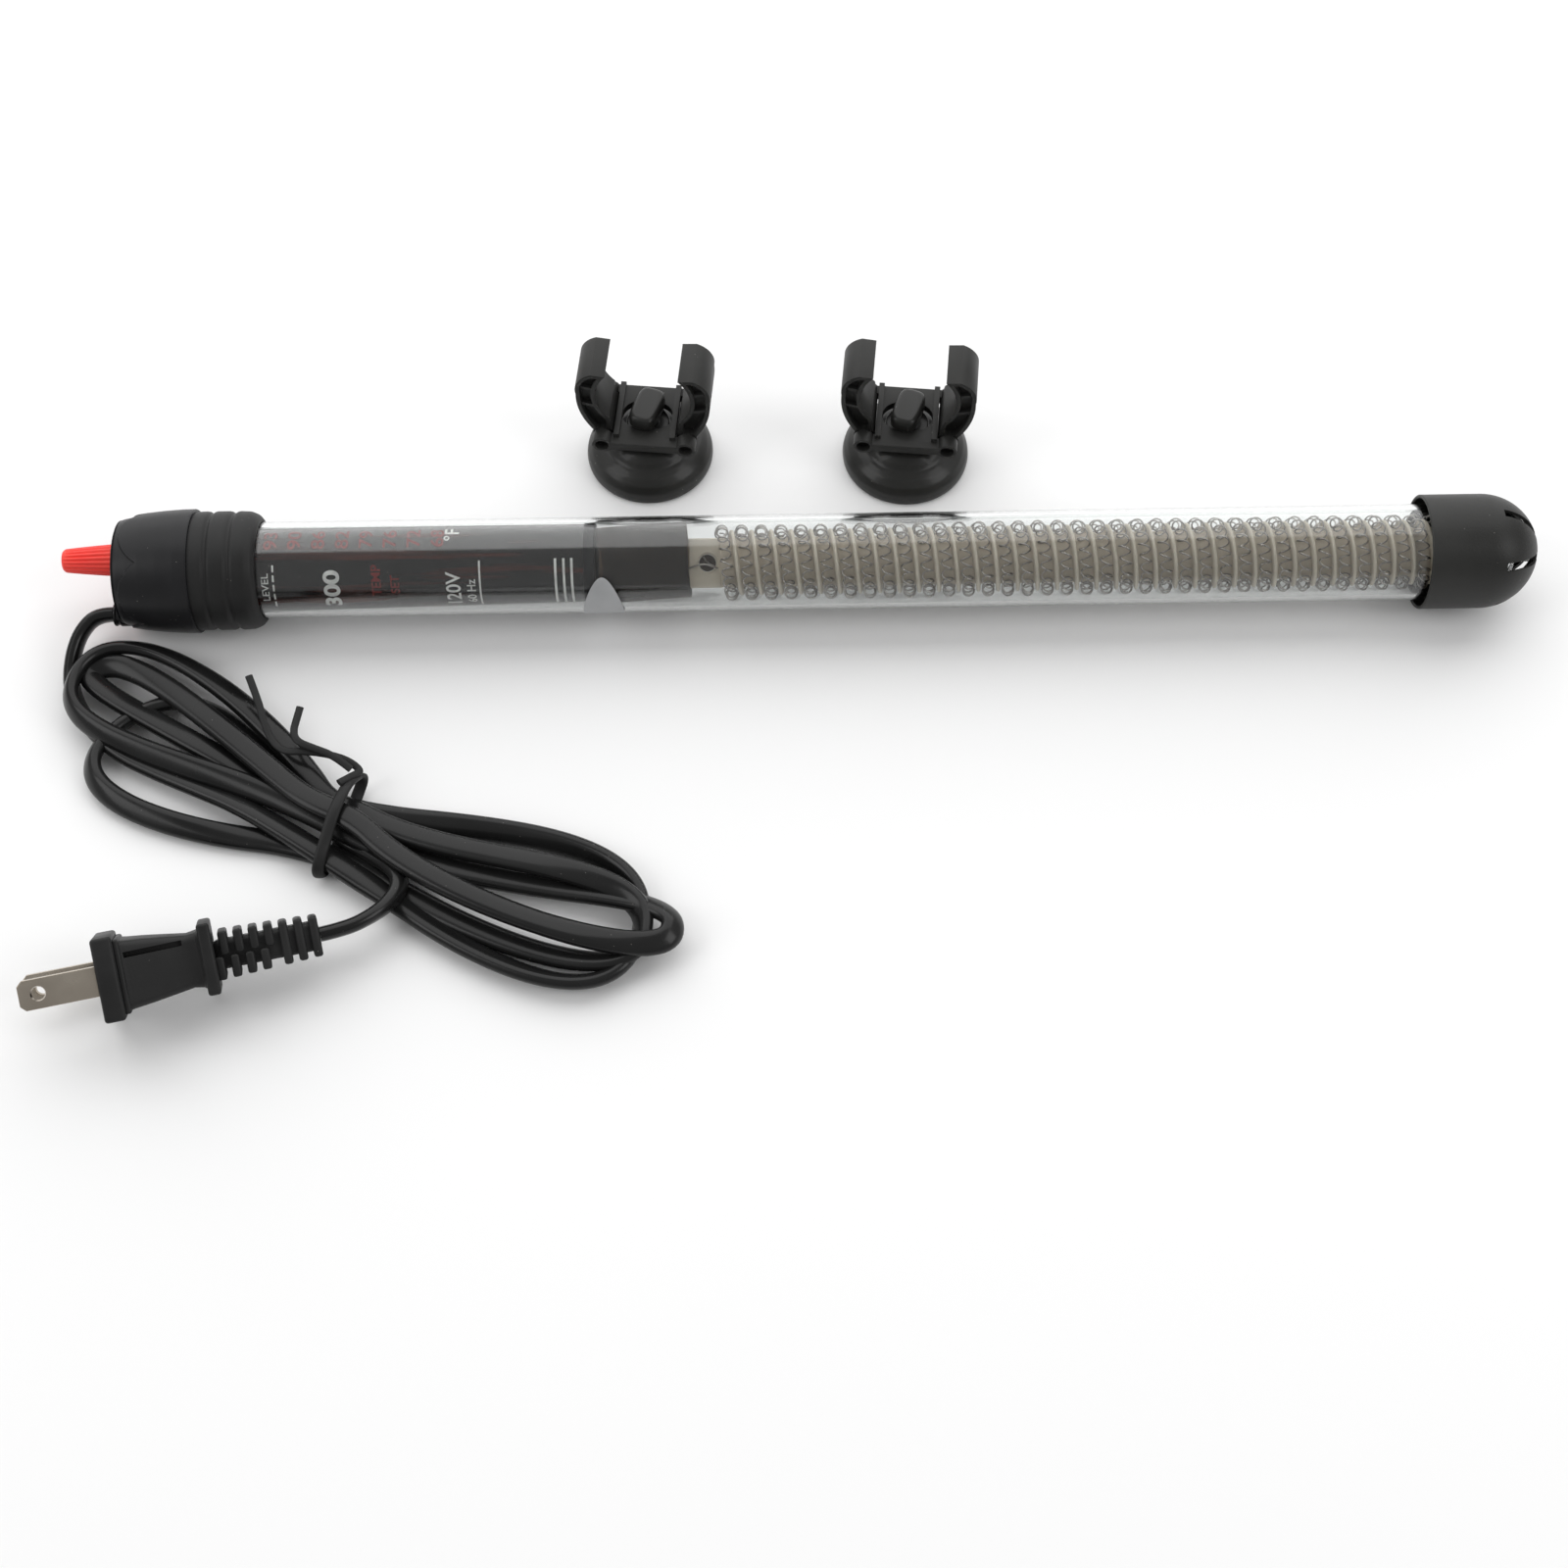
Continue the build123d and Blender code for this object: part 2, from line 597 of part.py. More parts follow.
def make_jaw():
    """The left jaw with its hinge pin, a recess in its front face and two ribs across the recess."""
    with BuildPart() as jaw:
        with BuildSketch(Plane.XZ.offset(-jaw_y0)):
            make_face(jaw_outline())
            with Locations((-hinge_x, hinge_z)):
                Circle(knuckle_r)
        extrude(amount=-(jaw_y1 - jaw_y0))
        with BuildSketch(Plane.XZ.offset(-jaw_y0)):
            make_face(jaw_outline())
            offset(amount=-1.0, kind=Kind.INTERSECTION)
        extrude(amount=-1.8, mode=Mode.SUBTRACT)
        with BuildSketch(Plane.XZ.offset(-jaw_y0 - 0.6)):
            with Locations((-tube_r - 2.0, grip_z - 3.7), (-tube_r - 1.6, grip_z + 2.1)):
                Rectangle(3.6, 0.8, rotation=-12)
        extrude(amount=-1.3)
        with BuildSketch(Plane.XZ.offset(-ring_y[0][0] - pin_recess)):
            with Locations((-hinge_x, hinge_z)):
                Circle(pin_r)
        extrude(amount=-(ring_y[1][1] - ring_y[0][0] - 2 * pin_recess + 0.6))
    return jaw.part


cup, bracket, left_jaw = make_cup(), make_bracket(), make_jaw()
right_jaw = mirror(left_jaw, about=Plane.YZ)
for letter, (x, y) in holder_places.items():
    place = Location((x, y, floor_z), (0, 0, holder_turn))
    keep(f"suction_cup_{letter}", cup.moved(place))
    keep(f"bracket_{letter}", bracket.moved(place))
    keep(f"left_jaw_{letter}", left_jaw.moved(place))
    keep(f"right_jaw_{letter}", right_jaw.moved(place))

# ---------------------------------------------------------------- plug
heading, rise, roll = radians(plug_heading), radians(plug_rise), radians(plug_roll)
plug_axis = Vector(cos(heading) * cos(rise), sin(heading) * cos(rise), sin(rise))
level = plug_axis.cross(Vector(0, 0, 1)).normalized()
level = level if level.Y < 0 else level * -1
square = level.cross(plug_axis) if level.cross(plug_axis).Z > 0 else plug_axis.cross(level)
plug_side = level * cos(roll) + square * sin(roll)
plug_plane = Plane(origin=plug_at, x_dir=plug_side, z_dir=plug_axis)

rear_z = -flange_t - body_len
with BuildPart() as plug_body:
    with BuildSketch(plug_plane):
        Rectangle(flange_w, flange_h)
        fillet(vertices(), 1.2)
    extrude(amount=-flange_t)
    with BuildSketch(plug_plane.offset(-flange_t)):
        Rectangle(14.0, 14.6)
        fillet(vertices(), 1.5)
    with BuildSketch(plug_plane.offset(rear_z)):
        Rectangle(9.4, 10.6)
        fillet(vertices(), 1.5)
    loft()
    with BuildSketch(plug_plane.offset(rear_z)):
        Rectangle(rear_w, rear_h)
        fillet(vertices(), 1.0)
    extrude(amount=-rear_t)
    with BuildSketch(plug_plane.offset(-blade_seat)):
        with GridLocations(blade_gap, 0, 2, 1):
            Rectangle(blade_t, blade_w)
    extrude(amount=blade_seat, mode=Mode.SUBTRACT)
keep("plug_body", plug_body.part)

relief_z0 = rear_z - rear_t
relief_r0, relief_r1 = 5.6, 4.4
relief_rings = 7
with BuildPart() as plug_strain_relief:
    with BuildSketch(plug_plane.offset(relief_z0)):
        Circle(4.0)
    with BuildSketch(plug_plane.offset(relief_z0 - relief_len)):
        Circle(2.7)
    loft()
    ring_step = relief_len / relief_rings
    for k in range(relief_rings):
        ring_now = relief_r0 + (relief_r1 - relief_r0) * k / (relief_rings - 1)
        with BuildSketch(plug_plane.offset(relief_z0 - (k + 1) * ring_step + ring_step * 0.6)):
            Circle(ring_now)
        extrude(amount=-ring_step * 0.6)
keep("plug_strain_relief", plug_strain_relief.part)

for name, side in (("plug_blade_near", 1), ("plug_blade_far", -1)):
    with BuildPart() as blade:
        with BuildSketch(plug_plane.offset(-blade_seat)):
            with Locations((side * blade_gap / 2, 0)):
                Rectangle(blade_t, blade_w)
        extrude(amount=blade_seat + blade_len)
        chamfer(blade.faces().sort_by(Axis(plug_at, plug_axis))[-1].edges().filter_by(
            lambda edge: edge.length < 2), 0.9)
        hole_plane = Plane(origin=plug_plane.from_local_coords((0, 0, 12.0)), z_dir=plug_side)
        with BuildSketch(hole_plane):
            Circle(blade_hole_r)
        extrude(amount=20, both=True, mode=Mode.SUBTRACT)
    keep(name, blade.part)


# ---------------------------------------------------------------- cord, hank and tie
def cord_tube(name, route):
    """A round tube along straight runs joined by the largest tangent arcs that the runs allow."""
    points = [Vector(*p) for p in route]
    runs = [b - a for a, b in zip(points, points[1:])]
    radii = []
    for a, b in zip(runs, runs[1:]):
        half_turn = radians(a.get_angle(b)) / 2
        radii.append(0.45 * min(a.length, b.length) / tan(half_turn))
    with BuildPart() as cord:
        with BuildLine() as line:
            FilletPolyline(*points, radius=radii)
        with BuildSketch(Plane(origin=points[0], z_dir=runs[0])):
            Circle(cord_r)
        sweep(path=line.wires()[0])
    keep(name, cord.part)
    length = line.wires()[0].length
    print(name, "length", round(length, 1), "radii", [round(r, 1) for r in radii],
          "volume over section x length", round(cord.part.volume / (pi * cord_r ** 2 * length), 3))


gland_y = -gland_offset * cos(radians(head_roll))
gland_z = -gland_offset * sin(radians(head_roll))
low_z = floor_z + cord_r + 0.02
lead_route = [
    (gland_x0, gland_y, gland_z), (gland_x0 - 4.0, gland_y, gland_z),
    (-42.2, -11.2, -7.0), (-44.0, -16.2, -9.0), (-44.3, -22.0, -11.0),
    (-42.8, -27.8, low_z), (-40.2, -33.0, low_z),
]
relief_end = plug_plane.from_local_coords((0, 0, relief_z0 - relief_len))
tail_route = [
    relief_end, relief_end - plug_axis * 7, (32.4, -86.0, -6.6), (34.8, -80.2, -7.0), (35.0, -74.6, -7.0),
]
cord_tube("cord_lead", lead_route)
cord_tube("cord_tail", tail_route)

hank_outline = [
    (-46.0, -25.0), (-40.0, -15.0), (-29.0, -12.8), (-8.0, -23.5), (12.0, -46.5), (24.0, -57.0),
    (50.0, -60.0), (75.0, -65.5), (92.0, -79.0), (97.3, -89.0), (88.0, -98.0), (73.0, -103.4),
    (50.0, -95.5), (30.0, -80.5), (8.0, -67.5), (-26.0, -60.0), (-38.5, -49.0), (-41.5, -36.0),
]
hank_high = 8.4
waist_high = 10.6
waist_at = (19.0, -65.0)
waist_turn = -18.6
waist_width = 19.0
tie_plane = Plane(origin=(waist_at[0], waist_at[1], floor_z), x_dir=(-sin(radians(waist_turn)),
                  cos(radians(waist_turn)), 0), z_dir=(cos(radians(waist_turn)), sin(radians(waist_turn)), 0))
tie_wide, tie_thick = 2.8, 1.0
with BuildPart() as twist_tie:
    with BuildSketch(tie_plane.offset(-tie_wide / 2)):
        with Locations((0, (waist_high + tie_thick) / 2)):
            Rectangle(waist_width + 2 * tie_thick, waist_high + tie_thick)
        with Locations((0, waist_high / 2)):
            Rectangle(waist_width, waist_high, mode=Mode.SUBTRACT)
    extrude(amount=tie_wide)
keep("twist_tie", twist_tie.part)

with BuildPart() as cord_hank:
    with BuildSketch(Plane.XY.offset(floor_z)):
        with BuildLine():
            Spline(*hank_outline, periodic=True)
        make_face()
    extrude(amount=hank_high)
    add(pieces["cord_lead"], mode=Mode.SUBTRACT)
    with BuildSketch(Plane.XY.offset(floor_z)):
        with Locations(Location(waist_at, waist_turn)):
            Ellipse(15.0, waist_width / 2)
    extrude(amount=waist_high)
    add(pieces["cord_tail"], mode=Mode.SUBTRACT)
    add(pieces["twist_tie"], mode=Mode.SUBTRACT)
keep("cord_hank", cord_hank.part)

print(len(pieces), "pieces")
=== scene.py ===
import math
import bpy
import bmesh
from mathutils import Matrix, Vector


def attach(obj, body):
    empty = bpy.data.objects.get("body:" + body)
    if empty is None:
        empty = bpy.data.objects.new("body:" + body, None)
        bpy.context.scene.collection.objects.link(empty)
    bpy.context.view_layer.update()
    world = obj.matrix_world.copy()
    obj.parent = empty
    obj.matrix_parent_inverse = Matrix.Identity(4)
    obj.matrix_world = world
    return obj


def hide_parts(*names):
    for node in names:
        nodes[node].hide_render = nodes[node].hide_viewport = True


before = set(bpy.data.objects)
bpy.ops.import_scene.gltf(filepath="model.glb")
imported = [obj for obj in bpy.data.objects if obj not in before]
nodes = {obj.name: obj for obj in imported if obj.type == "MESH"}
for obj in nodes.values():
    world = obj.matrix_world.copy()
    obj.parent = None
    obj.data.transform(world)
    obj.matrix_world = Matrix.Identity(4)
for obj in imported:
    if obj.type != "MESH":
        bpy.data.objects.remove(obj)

scene = bpy.context.scene
mm = 0.001
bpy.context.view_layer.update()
floorZ = -14.2                       # everything below is in millimetres until a mesh is made
headRoll = math.radians(35)          # direction of the knob from the tube's axis, from +Y towards +Z
knobSide = Vector((0, math.cos(headRoll), math.sin(headRoll)))


# meshes
def markSharp(mesh, sharpAbove=32):
    shape = bmesh.new()
    shape.from_mesh(mesh)
    for face in shape.faces:
        face.smooth = True
    limit = math.radians(sharpAbove)
    for edge in shape.edges:
        edge.smooth = not (edge.is_manifold and edge.calc_face_angle(0) > limit)
    shape.to_mesh(mesh)
    shape.free()


def meshPiece(name, points, faces, surface, sharpAbove=32):
    mesh = bpy.data.meshes.new(name)
    mesh.from_pydata([Vector(p) * mm for p in points], [], faces)
    shape = bmesh.new()
    shape.from_mesh(mesh)
    bmesh.ops.remove_doubles(shape, verts=shape.verts, dist=2e-6)
    bmesh.ops.recalc_face_normals(shape, faces=shape.faces)
    shape.to_mesh(mesh)
    shape.free()
    markSharp(mesh, sharpAbove)
    piece = bpy.data.objects.new(name, mesh)
    scene.collection.objects.link(piece)
    mesh.materials.append(surface)
    return piece


def bakeModifiers(piece, sharpAbove=32):
    graph = bpy.context.evaluated_depsgraph_get()
    mesh = bpy.data.meshes.new_from_object(piece.evaluated_get(graph))
    piece.modifiers.clear()
    piece.data = mesh
    markSharp(mesh, sharpAbove)
    return piece


def placing(origin, along, side):
    along = Vector(along).normalized()
    side = Vector(side)
    side = (side - along * side.dot(along)).normalized()
    return Vector(origin), along, side, along.cross(side)


def softened(points, radius, closed=True, steps=4):
    count = len(points)
    result = []
    for i, point in enumerate(points):
        here = Vector(point)
        if not closed and i in (0, count - 1) or abs(here.y) < 1e-6:
            result.append(tuple(here))
            continue
        before, after = Vector(points[i - 1]), Vector(points[(i + 1) % count])
        cut = min(radius, 0.45 * (before - here).length, 0.45 * (after - here).length)
        start = here + (before - here).normalized() * cut
        stop = here + (after - here).normalized() * cut
        for k in range(steps + 1):
            t = k / steps
            result.append(tuple(start * (1 - t) ** 2 + here * 2 * t * (1 - t) + stop * t * t))
    return result


def lathe(name, profile, surface, place, steps=128, closed=True, reach=None, sharpAbove=32):
    origin, along, side, across = place
    points, faces, rows = [], [], []
    for distance, radius in profile:
        if radius < 1e-4:
            rows.append([len(points)])
            points.append(origin + along * distance)
            continue
        row = []
        for k in range(steps):
            turn = 2 * math.pi * k / steps
            here = radius if reach is None else reach(distance, radius, turn)
            row.append(len(points))
            outward = side * math.cos(turn) + across * math.sin(turn)
            points.append(origin + along * distance + outward * here)
        rows.append(row)
    pairs = list(zip(rows, rows[1:]))
    if closed and not (len(rows[0]) == 1 and len(rows[-1]) == 1):
        pairs.append((rows[-1], rows[0]))
    for low, high in pairs:
        for k in range(steps):
            n = (k + 1) % steps
            if len(low) == 1 and len(high) == 1:
                break
            if len(low) == 1:
                faces.append((low[0], high[k], high[n]))
            elif len(high) == 1:
                faces.append((low[k], high[0], low[n]))
            else:
                faces.append((low[k], high[k], high[n], low[n]))
    return meshPiece(name, points, faces, surface, sharpAbove)


def prism(name, outline, low, high, surface, place, bevel=0.3, segments=3, topScale=1.0):
    origin, along, side, across = place
    count = len(outline)
    points = [origin + along * low + side * u + across * v for u, v in outline]
    points += [origin + along * high + (side * u + across * v) * topScale for u, v in outline]
    faces = [tuple(reversed(range(count))), tuple(range(count, 2 * count))]
    faces += [(k, (k + 1) % count, count + (k + 1) % count, count + k) for k in range(count)]
    piece = meshPiece(name, points, faces, surface)
    return bevelled(piece, bevel, segments)


def bevelled(piece, width, segments=3, sharpAbove=25):
    shape = bmesh.new()
    shape.from_mesh(piece.data)
    bmesh.ops.remove_doubles(shape, verts=shape.verts, dist=3e-6)
    bmesh.ops.dissolve_limit(shape, angle_limit=math.radians(1), verts=shape.verts, edges=shape.edges)
    edges = [e for e in shape.edges if e.is_manifold and e.calc_face_angle(0) > math.radians(sharpAbove)]
    if width > 0:
        bmesh.ops.bevel(shape, geom=edges, offset=width * mm, segments=segments, profile=0.5,
                        affect="EDGES", clamp_overlap=True)
    bmesh.ops.recalc_face_normals(shape, faces=shape.faces)
    shape.to_mesh(piece.data)
    shape.free()
    markSharp(piece.data, 40)
    return piece


def rectangle(width, height):
    return [(-width / 2, -height / 2), (width / 2, -height / 2), (width / 2, height / 2),
            (-width / 2, height / 2)]


def roundedOutline(width, height, power, steps=32):
    outline = []
    for k in range(steps):
        c, s = math.cos(2 * math.pi * k / steps), math.sin(2 * math.pi * k / steps)
        outline.append((math.copysign(abs(c) ** power, c) * width / 2,
                        math.copysign(abs(s) ** power, s) * height / 2))
    return outline


def joined(name, pieces):
    shape = bmesh.new()
    surfaces = []
    for piece in pieces:
        first = len(shape.faces)
        shape.from_mesh(piece.data)
        shape.faces.ensure_lookup_table()
        surface = piece.data.materials[0]
        if surface not in surfaces:
            surfaces.append(surface)
        for face in shape.faces[first:]:
            face.material_index = surfaces.index(surface)
    mesh = bpy.data.meshes.new(name)
    shape.to_mesh(mesh)
    shape.free()
    for surface in surfaces:
        mesh.materials.append(surface)
    for piece in pieces:
        bpy.data.objects.remove(piece)
    whole = bpy.data.objects.new(name, mesh)
    scene.collection.objects.link(whole)
    return whole


def nodeCopy(name, node, surface, bevel, segments=2):
    piece = bpy.data.objects.new(name, nodes[node].data.copy())
    scene.collection.objects.link(piece)
    piece.data.materials.clear()
    piece.data.materials.append(surface)
    bevelled(piece, bevel, segments)
    return piece


def ovalTube(name, centres, widths, surface, section=20, capped=True):
    points, faces, rows = [], [], []
    for i, centre in enumerate(centres):
        wide, thin, wideAxis, thinAxis = widths[i]
        row = []
        for k in range(section):
            turn = 2 * math.pi * k / section
            c, s = math.cos(turn), math.sin(turn)
            power = 0.8          # a little squarer than an ellipse
            c = math.copysign(abs(c) ** power, c)
            s = math.copysign(abs(s) ** power, s)
            row.append(len(points))
            points.append(centre + wideAxis * c * wide / 2 + thinAxis * s * thin / 2)
        rows.append(row)
    for low, high in zip(rows, rows[1:]):
        for k in range(section):
            n = (k + 1) % section
            faces.append((low[k], high[k], high[n], low[n]))
    if capped:
        faces += [tuple(rows[0]), tuple(reversed(rows[-1]))]
    return meshPiece(name, points, faces, surface, 50)


# materials
def newSurface(name, color, rough=0.4, metal=0.0, coat=0.0, shine=0.5):
    surface = bpy.data.materials.new(name)
    surface.use_nodes = True
    tree = surface.node_tree
    shader = tree.nodes["Principled BSDF"]
    shader.inputs["Base Color"].default_value = (*color, 1)
    shader.inputs["Roughness"].default_value = rough
    shader.inputs["Metallic"].default_value = metal
    shader.inputs["Specular IOR Level"].default_value = shine
    shader.inputs["Coat Weight"].default_value = coat
    shader.inputs["Coat Roughness"].default_value = 0.12
    return surface


def objectNoise(tree, scale, detail=3.0, stretch=None):
    place = tree.nodes.new("ShaderNodeTexCoord")
    noise = tree.nodes.new("ShaderNodeTexNoise")
    noise.inputs["Scale"].default_value = scale
    noise.inputs["Detail"].default_value = detail
    source = place.outputs["Object"]
    if stretch:
        mapping = tree.nodes.new("ShaderNodeMapping")
        mapping.inputs["Scale"].default_value = stretch
        tree.links.new(source, mapping.inputs["Vector"])
        source = mapping.outputs["Vector"]
    tree.links.new(source, noise.inputs["Vector"])
    return noise


def ranged(tree, source, low, high, fromLow=0.3, fromHigh=0.7):
    spread = tree.nodes.new("ShaderNodeMapRange")
    spread.inputs["From Min"].default_value = fromLow
    spread.inputs["From Max"].default_value = fromHigh
    spread.inputs["To Min"].default_value = low
    spread.inputs["To Max"].default_value = high
    tree.links.new(source, spread.inputs["Value"])
    return spread.outputs["Result"]


def detailed(surface, grain=(1800, 0.12, 0.00004), rough=(0.3, 0.45), wear=60, tint=None, specks=0.0,
             stretch=None):
    tree = surface.node_tree
    shader = tree.nodes["Principled BSDF"]
    fine = objectNoise(tree, grain[0], 4.0, stretch)
    bump = tree.nodes.new("ShaderNodeBump")
    bump.inputs["Strength"].default_value = grain[1]
    bump.inputs["Distance"].default_value = grain[2]
    tree.links.new(fine.outputs["Fac"], bump.inputs["Height"])
    tree.links.new(bump.outputs["Normal"], shader.inputs["Normal"])
    broad = objectNoise(tree, wear, 5.0)
    tree.links.new(ranged(tree, broad.outputs["Fac"], rough[0], rough[1]), shader.inputs["Roughness"])
    base = tuple(shader.inputs["Base Color"].default_value)[:3]
    mix = tree.nodes.new("ShaderNodeMix")
    mix.data_type = "RGBA"
    mix.inputs["A"].default_value = (*base, 1)
    mix.inputs["B"].default_value = (*(tint or [c * 1.5 + 0.004 for c in base]), 1)
    tree.links.new(ranged(tree, broad.outputs["Fac"], 0.0, 1.0), mix.inputs["Factor"])
    result = mix.outputs["Result"]
    if specks:
        place = tree.nodes.new("ShaderNodeTexCoord")
        dots = tree.nodes.new("ShaderNodeTexVoronoi")
        dots.inputs["Scale"].default_value = 420
        tree.links.new(place.outputs["Object"], dots.inputs["Vector"])
        near = tree.nodes.new("ShaderNodeMath")
        near.operation = "LESS_THAN"
        near.inputs[1].default_value = 0.035
        tree.links.new(dots.outputs["Distance"], near.inputs[0])
        share = tree.nodes.new("ShaderNodeMath")
        share.operation = "MULTIPLY"
        share.inputs[1].default_value = specks
        tree.links.new(near.outputs[0], share.inputs[0])
        dust = tree.nodes.new("ShaderNodeMix")
        dust.data_type = "RGBA"
        dust.inputs["B"].default_value = (0.45, 0.43, 0.4, 1)
        tree.links.new(result, dust.inputs["A"])
        tree.links.new(share.outputs[0], dust.inputs["Factor"])
        result = dust.outputs["Result"]
    tree.links.new(result, shader.inputs["Base Color"])
    return surface


looks = {
    "headBlack": detailed(newSurface("headBlack", (0.011, 0.011, 0.012), shine=0.2), (900, 0.08, 0.00005),
                          (0.34, 0.46), 45,
                          specks=0.5),
    "sleeveRubber": detailed(newSurface("sleeveRubber", (0.014, 0.014, 0.014), shine=0.18),
                             (1400, 0.2, 0.00005), (0.42, 0.56),
                             60, specks=0.5),
    "guardBlack": detailed(newSurface("guardBlack", (0.014, 0.014, 0.013), shine=0.25), (2200, 0.5, 0.00008),
                           (0.4, 0.5), 50,
                           specks=0.4),
    "knobRed": detailed(newSurface("knobRed", (0.86, 0.02, 0.012)), (1600, 0.1, 0.00003), (0.36, 0.5), 80,
                        tint=(0.92, 0.05, 0.03)),
    "cordBlack": detailed(newSurface("cordBlack", (0.006, 0.006, 0.006), shine=0.22, coat=0.12),
                          (1500, 0.06, 0.00004),
                          (0.2, 0.32), 35, specks=0.35),
    "tieBlack": detailed(newSurface("tieBlack", (0.012, 0.012, 0.012), shine=0.2), (1500, 0.2, 0.00004),
                         (0.42, 0.55), 70),
    "plugBlack": detailed(newSurface("plugBlack", (0.012, 0.012, 0.012), shine=0.2), (1900, 0.45, 0.00007),
                          (0.4, 0.55), 60,
                          specks=0.5),
    "cupRubber": detailed(newSurface("cupRubber", (0.013, 0.013, 0.012), shine=0.25, coat=0.15),
                          (1200, 0.06, 0.00004),
                          (0.33, 0.46), 50, specks=0.6),
    "holderBlack": detailed(newSurface("holderBlack", (0.018, 0.018, 0.017), shine=0.22),
                            (1300, 0.16, 0.00005), (0.42, 0.55),
                            70, specks=0.4),
    "ceramic": detailed(newSurface("ceramic", (0.62, 0.56, 0.46)), (1300, 0.35, 0.0001), (0.7, 0.85), 90,
                        tint=(0.68, 0.62, 0.52)),
    "tabCeramic": detailed(newSurface("tabCeramic", (0.6, 0.545, 0.45)), (1300, 0.35, 0.0001), (0.7, 0.85),
                           90,
                           tint=(0.66, 0.6, 0.5)),
    "coilMetal": detailed(newSurface("coilMetal", (0.25, 0.235, 0.22), metal=1.0), (2500, 0.1, 0.00002),
                          (0.24, 0.34),
                          200, tint=(0.33, 0.31, 0.29)),
    "bladeMetal": detailed(newSurface("bladeMetal", (0.42, 0.37, 0.31), metal=1.0), (1500, 0.12, 0.00002),
                           (0.2, 0.34), 90, tint=(0.5, 0.45, 0.38), stretch=(0.1, 1, 1)),
    "printWhite": detailed(newSurface("printWhite", (0.72, 0.72, 0.7)), (2500, 0.05, 0.00002), (0.5, 0.65),
                           300),
    "printRed": detailed(newSurface("printRed", (0.17, 0.012, 0.01)), (2500, 0.05, 0.00002), (0.5, 0.65),
                         300),
    "stickerGrey": detailed(newSurface("stickerGrey", (0.27, 0.275, 0.28)), (900, 0.06, 0.00003),
                            (0.3, 0.42), 80),
    # painted shade: this dark brown is used only for the plug that darkens the tab's hole
    "holeShadeBrown": detailed(newSurface("holeShadeBrown", (0.035, 0.024, 0.016)), (900, 0.2, 0.00005), (0.5, 0.65),
                           80),
    "brass": detailed(newSurface("brass", (0.7, 0.5, 0.24), metal=1.0), (900, 0.1, 0.00003), (0.25, 0.4),
                      80),
    "board": detailed(newSurface("board", (0.2, 0.1, 0.05)), (900, 0.1, 0.00003), (0.5, 0.65), 80),
    "pad": detailed(newSurface("pad", (0.55, 0.55, 0.52)), (900, 0.1, 0.00003), (0.4, 0.5), 80),
}

# painted shade: the ceramic is darker down in its groove than on the fin
tree = looks["ceramic"].node_tree
shader = tree.nodes["Principled BSDF"]
place = tree.nodes.new("ShaderNodeTexCoord")
flatten = tree.nodes.new("ShaderNodeVectorMath")
flatten.operation = "MULTIPLY"
flatten.inputs[1].default_value = (0, 1, 1)
tree.links.new(place.outputs["Object"], flatten.inputs[0])
reach = tree.nodes.new("ShaderNodeVectorMath")
reach.operation = "LENGTH"
tree.links.new(flatten.outputs["Vector"], reach.inputs[0])
paintedGrooveShade = tree.nodes.new("ShaderNodeMix")
paintedGrooveShade.data_type = "RGBA"
paintedGrooveShade.inputs["A"].default_value = (0.49, 0.425, 0.34, 1)
tree.links.new(shader.inputs["Base Color"].links[0].from_socket, paintedGrooveShade.inputs["B"])
tree.links.new(ranged(tree, reach.outputs["Value"], 0.0, 1.0, 0.0057, 0.0072), paintedGrooveShade.inputs["Factor"])
tree.links.new(paintedGrooveShade.outputs["Result"], shader.inputs["Base Color"])

# the printed drum: black with faint red-brown streaks along it
housingSurface = newSurface("housingBlack", (0.006, 0.005, 0.005))
detailed(housingSurface, (1200, 0.08, 0.00004), (0.17, 0.26), 60, specks=0.7)
tree = housingSurface.node_tree
shader = tree.nodes["Principled BSDF"]
streaks = objectNoise(tree, 380, 3.0, (0.05, 1.0, 1.0))
streakMix = tree.nodes.new("ShaderNodeMix")
streakMix.data_type = "RGBA"
streakMix.inputs["B"].default_value = (0.09, 0.018, 0.01, 1)
tree.links.new(shader.inputs["Base Color"].links[0].from_socket, streakMix.inputs["A"])
tree.links.new(ranged(tree, streaks.outputs["Fac"], 0.0, 0.8, 0.54, 0.68), streakMix.inputs["Factor"])
tree.links.new(streakMix.outputs["Result"], shader.inputs["Base Color"])
looks["housingBlack"] = housingSurface

glassSurface = newSurface("clearGlass", (0.93, 0.945, 0.94), rough=0.0)
glassShader = glassSurface.node_tree.nodes["Principled BSDF"]
glassShader.inputs["Transmission Weight"].default_value = 1.0
glassShader.inputs["IOR"].default_value = 1.47
looks["clearGlass"] = glassSurface

smokeSurface = newSurface("smokeFilm", (0.02, 0.017, 0.014), rough=0.25)
detailed(smokeSurface, (700, 0.1, 0.00005), (0.2, 0.34), 50, specks=0.6)
tree = smokeSurface.node_tree
clear = tree.nodes.new("ShaderNodeBsdfTransparent")
clear.inputs["Color"].default_value = (0.44, 0.35, 0.27, 1)
blend = tree.nodes.new("ShaderNodeMixShader")
blend.inputs["Fac"].default_value = 0.48
tree.links.new(clear.outputs["BSDF"], blend.inputs[1])
tree.links.new(tree.nodes["Principled BSDF"].outputs["BSDF"], blend.inputs[2])
tree.links.new(blend.outputs["Shader"], tree.nodes["Material Output"].inputs["Surface"])
looks["smokeFilm"] = smokeSurface

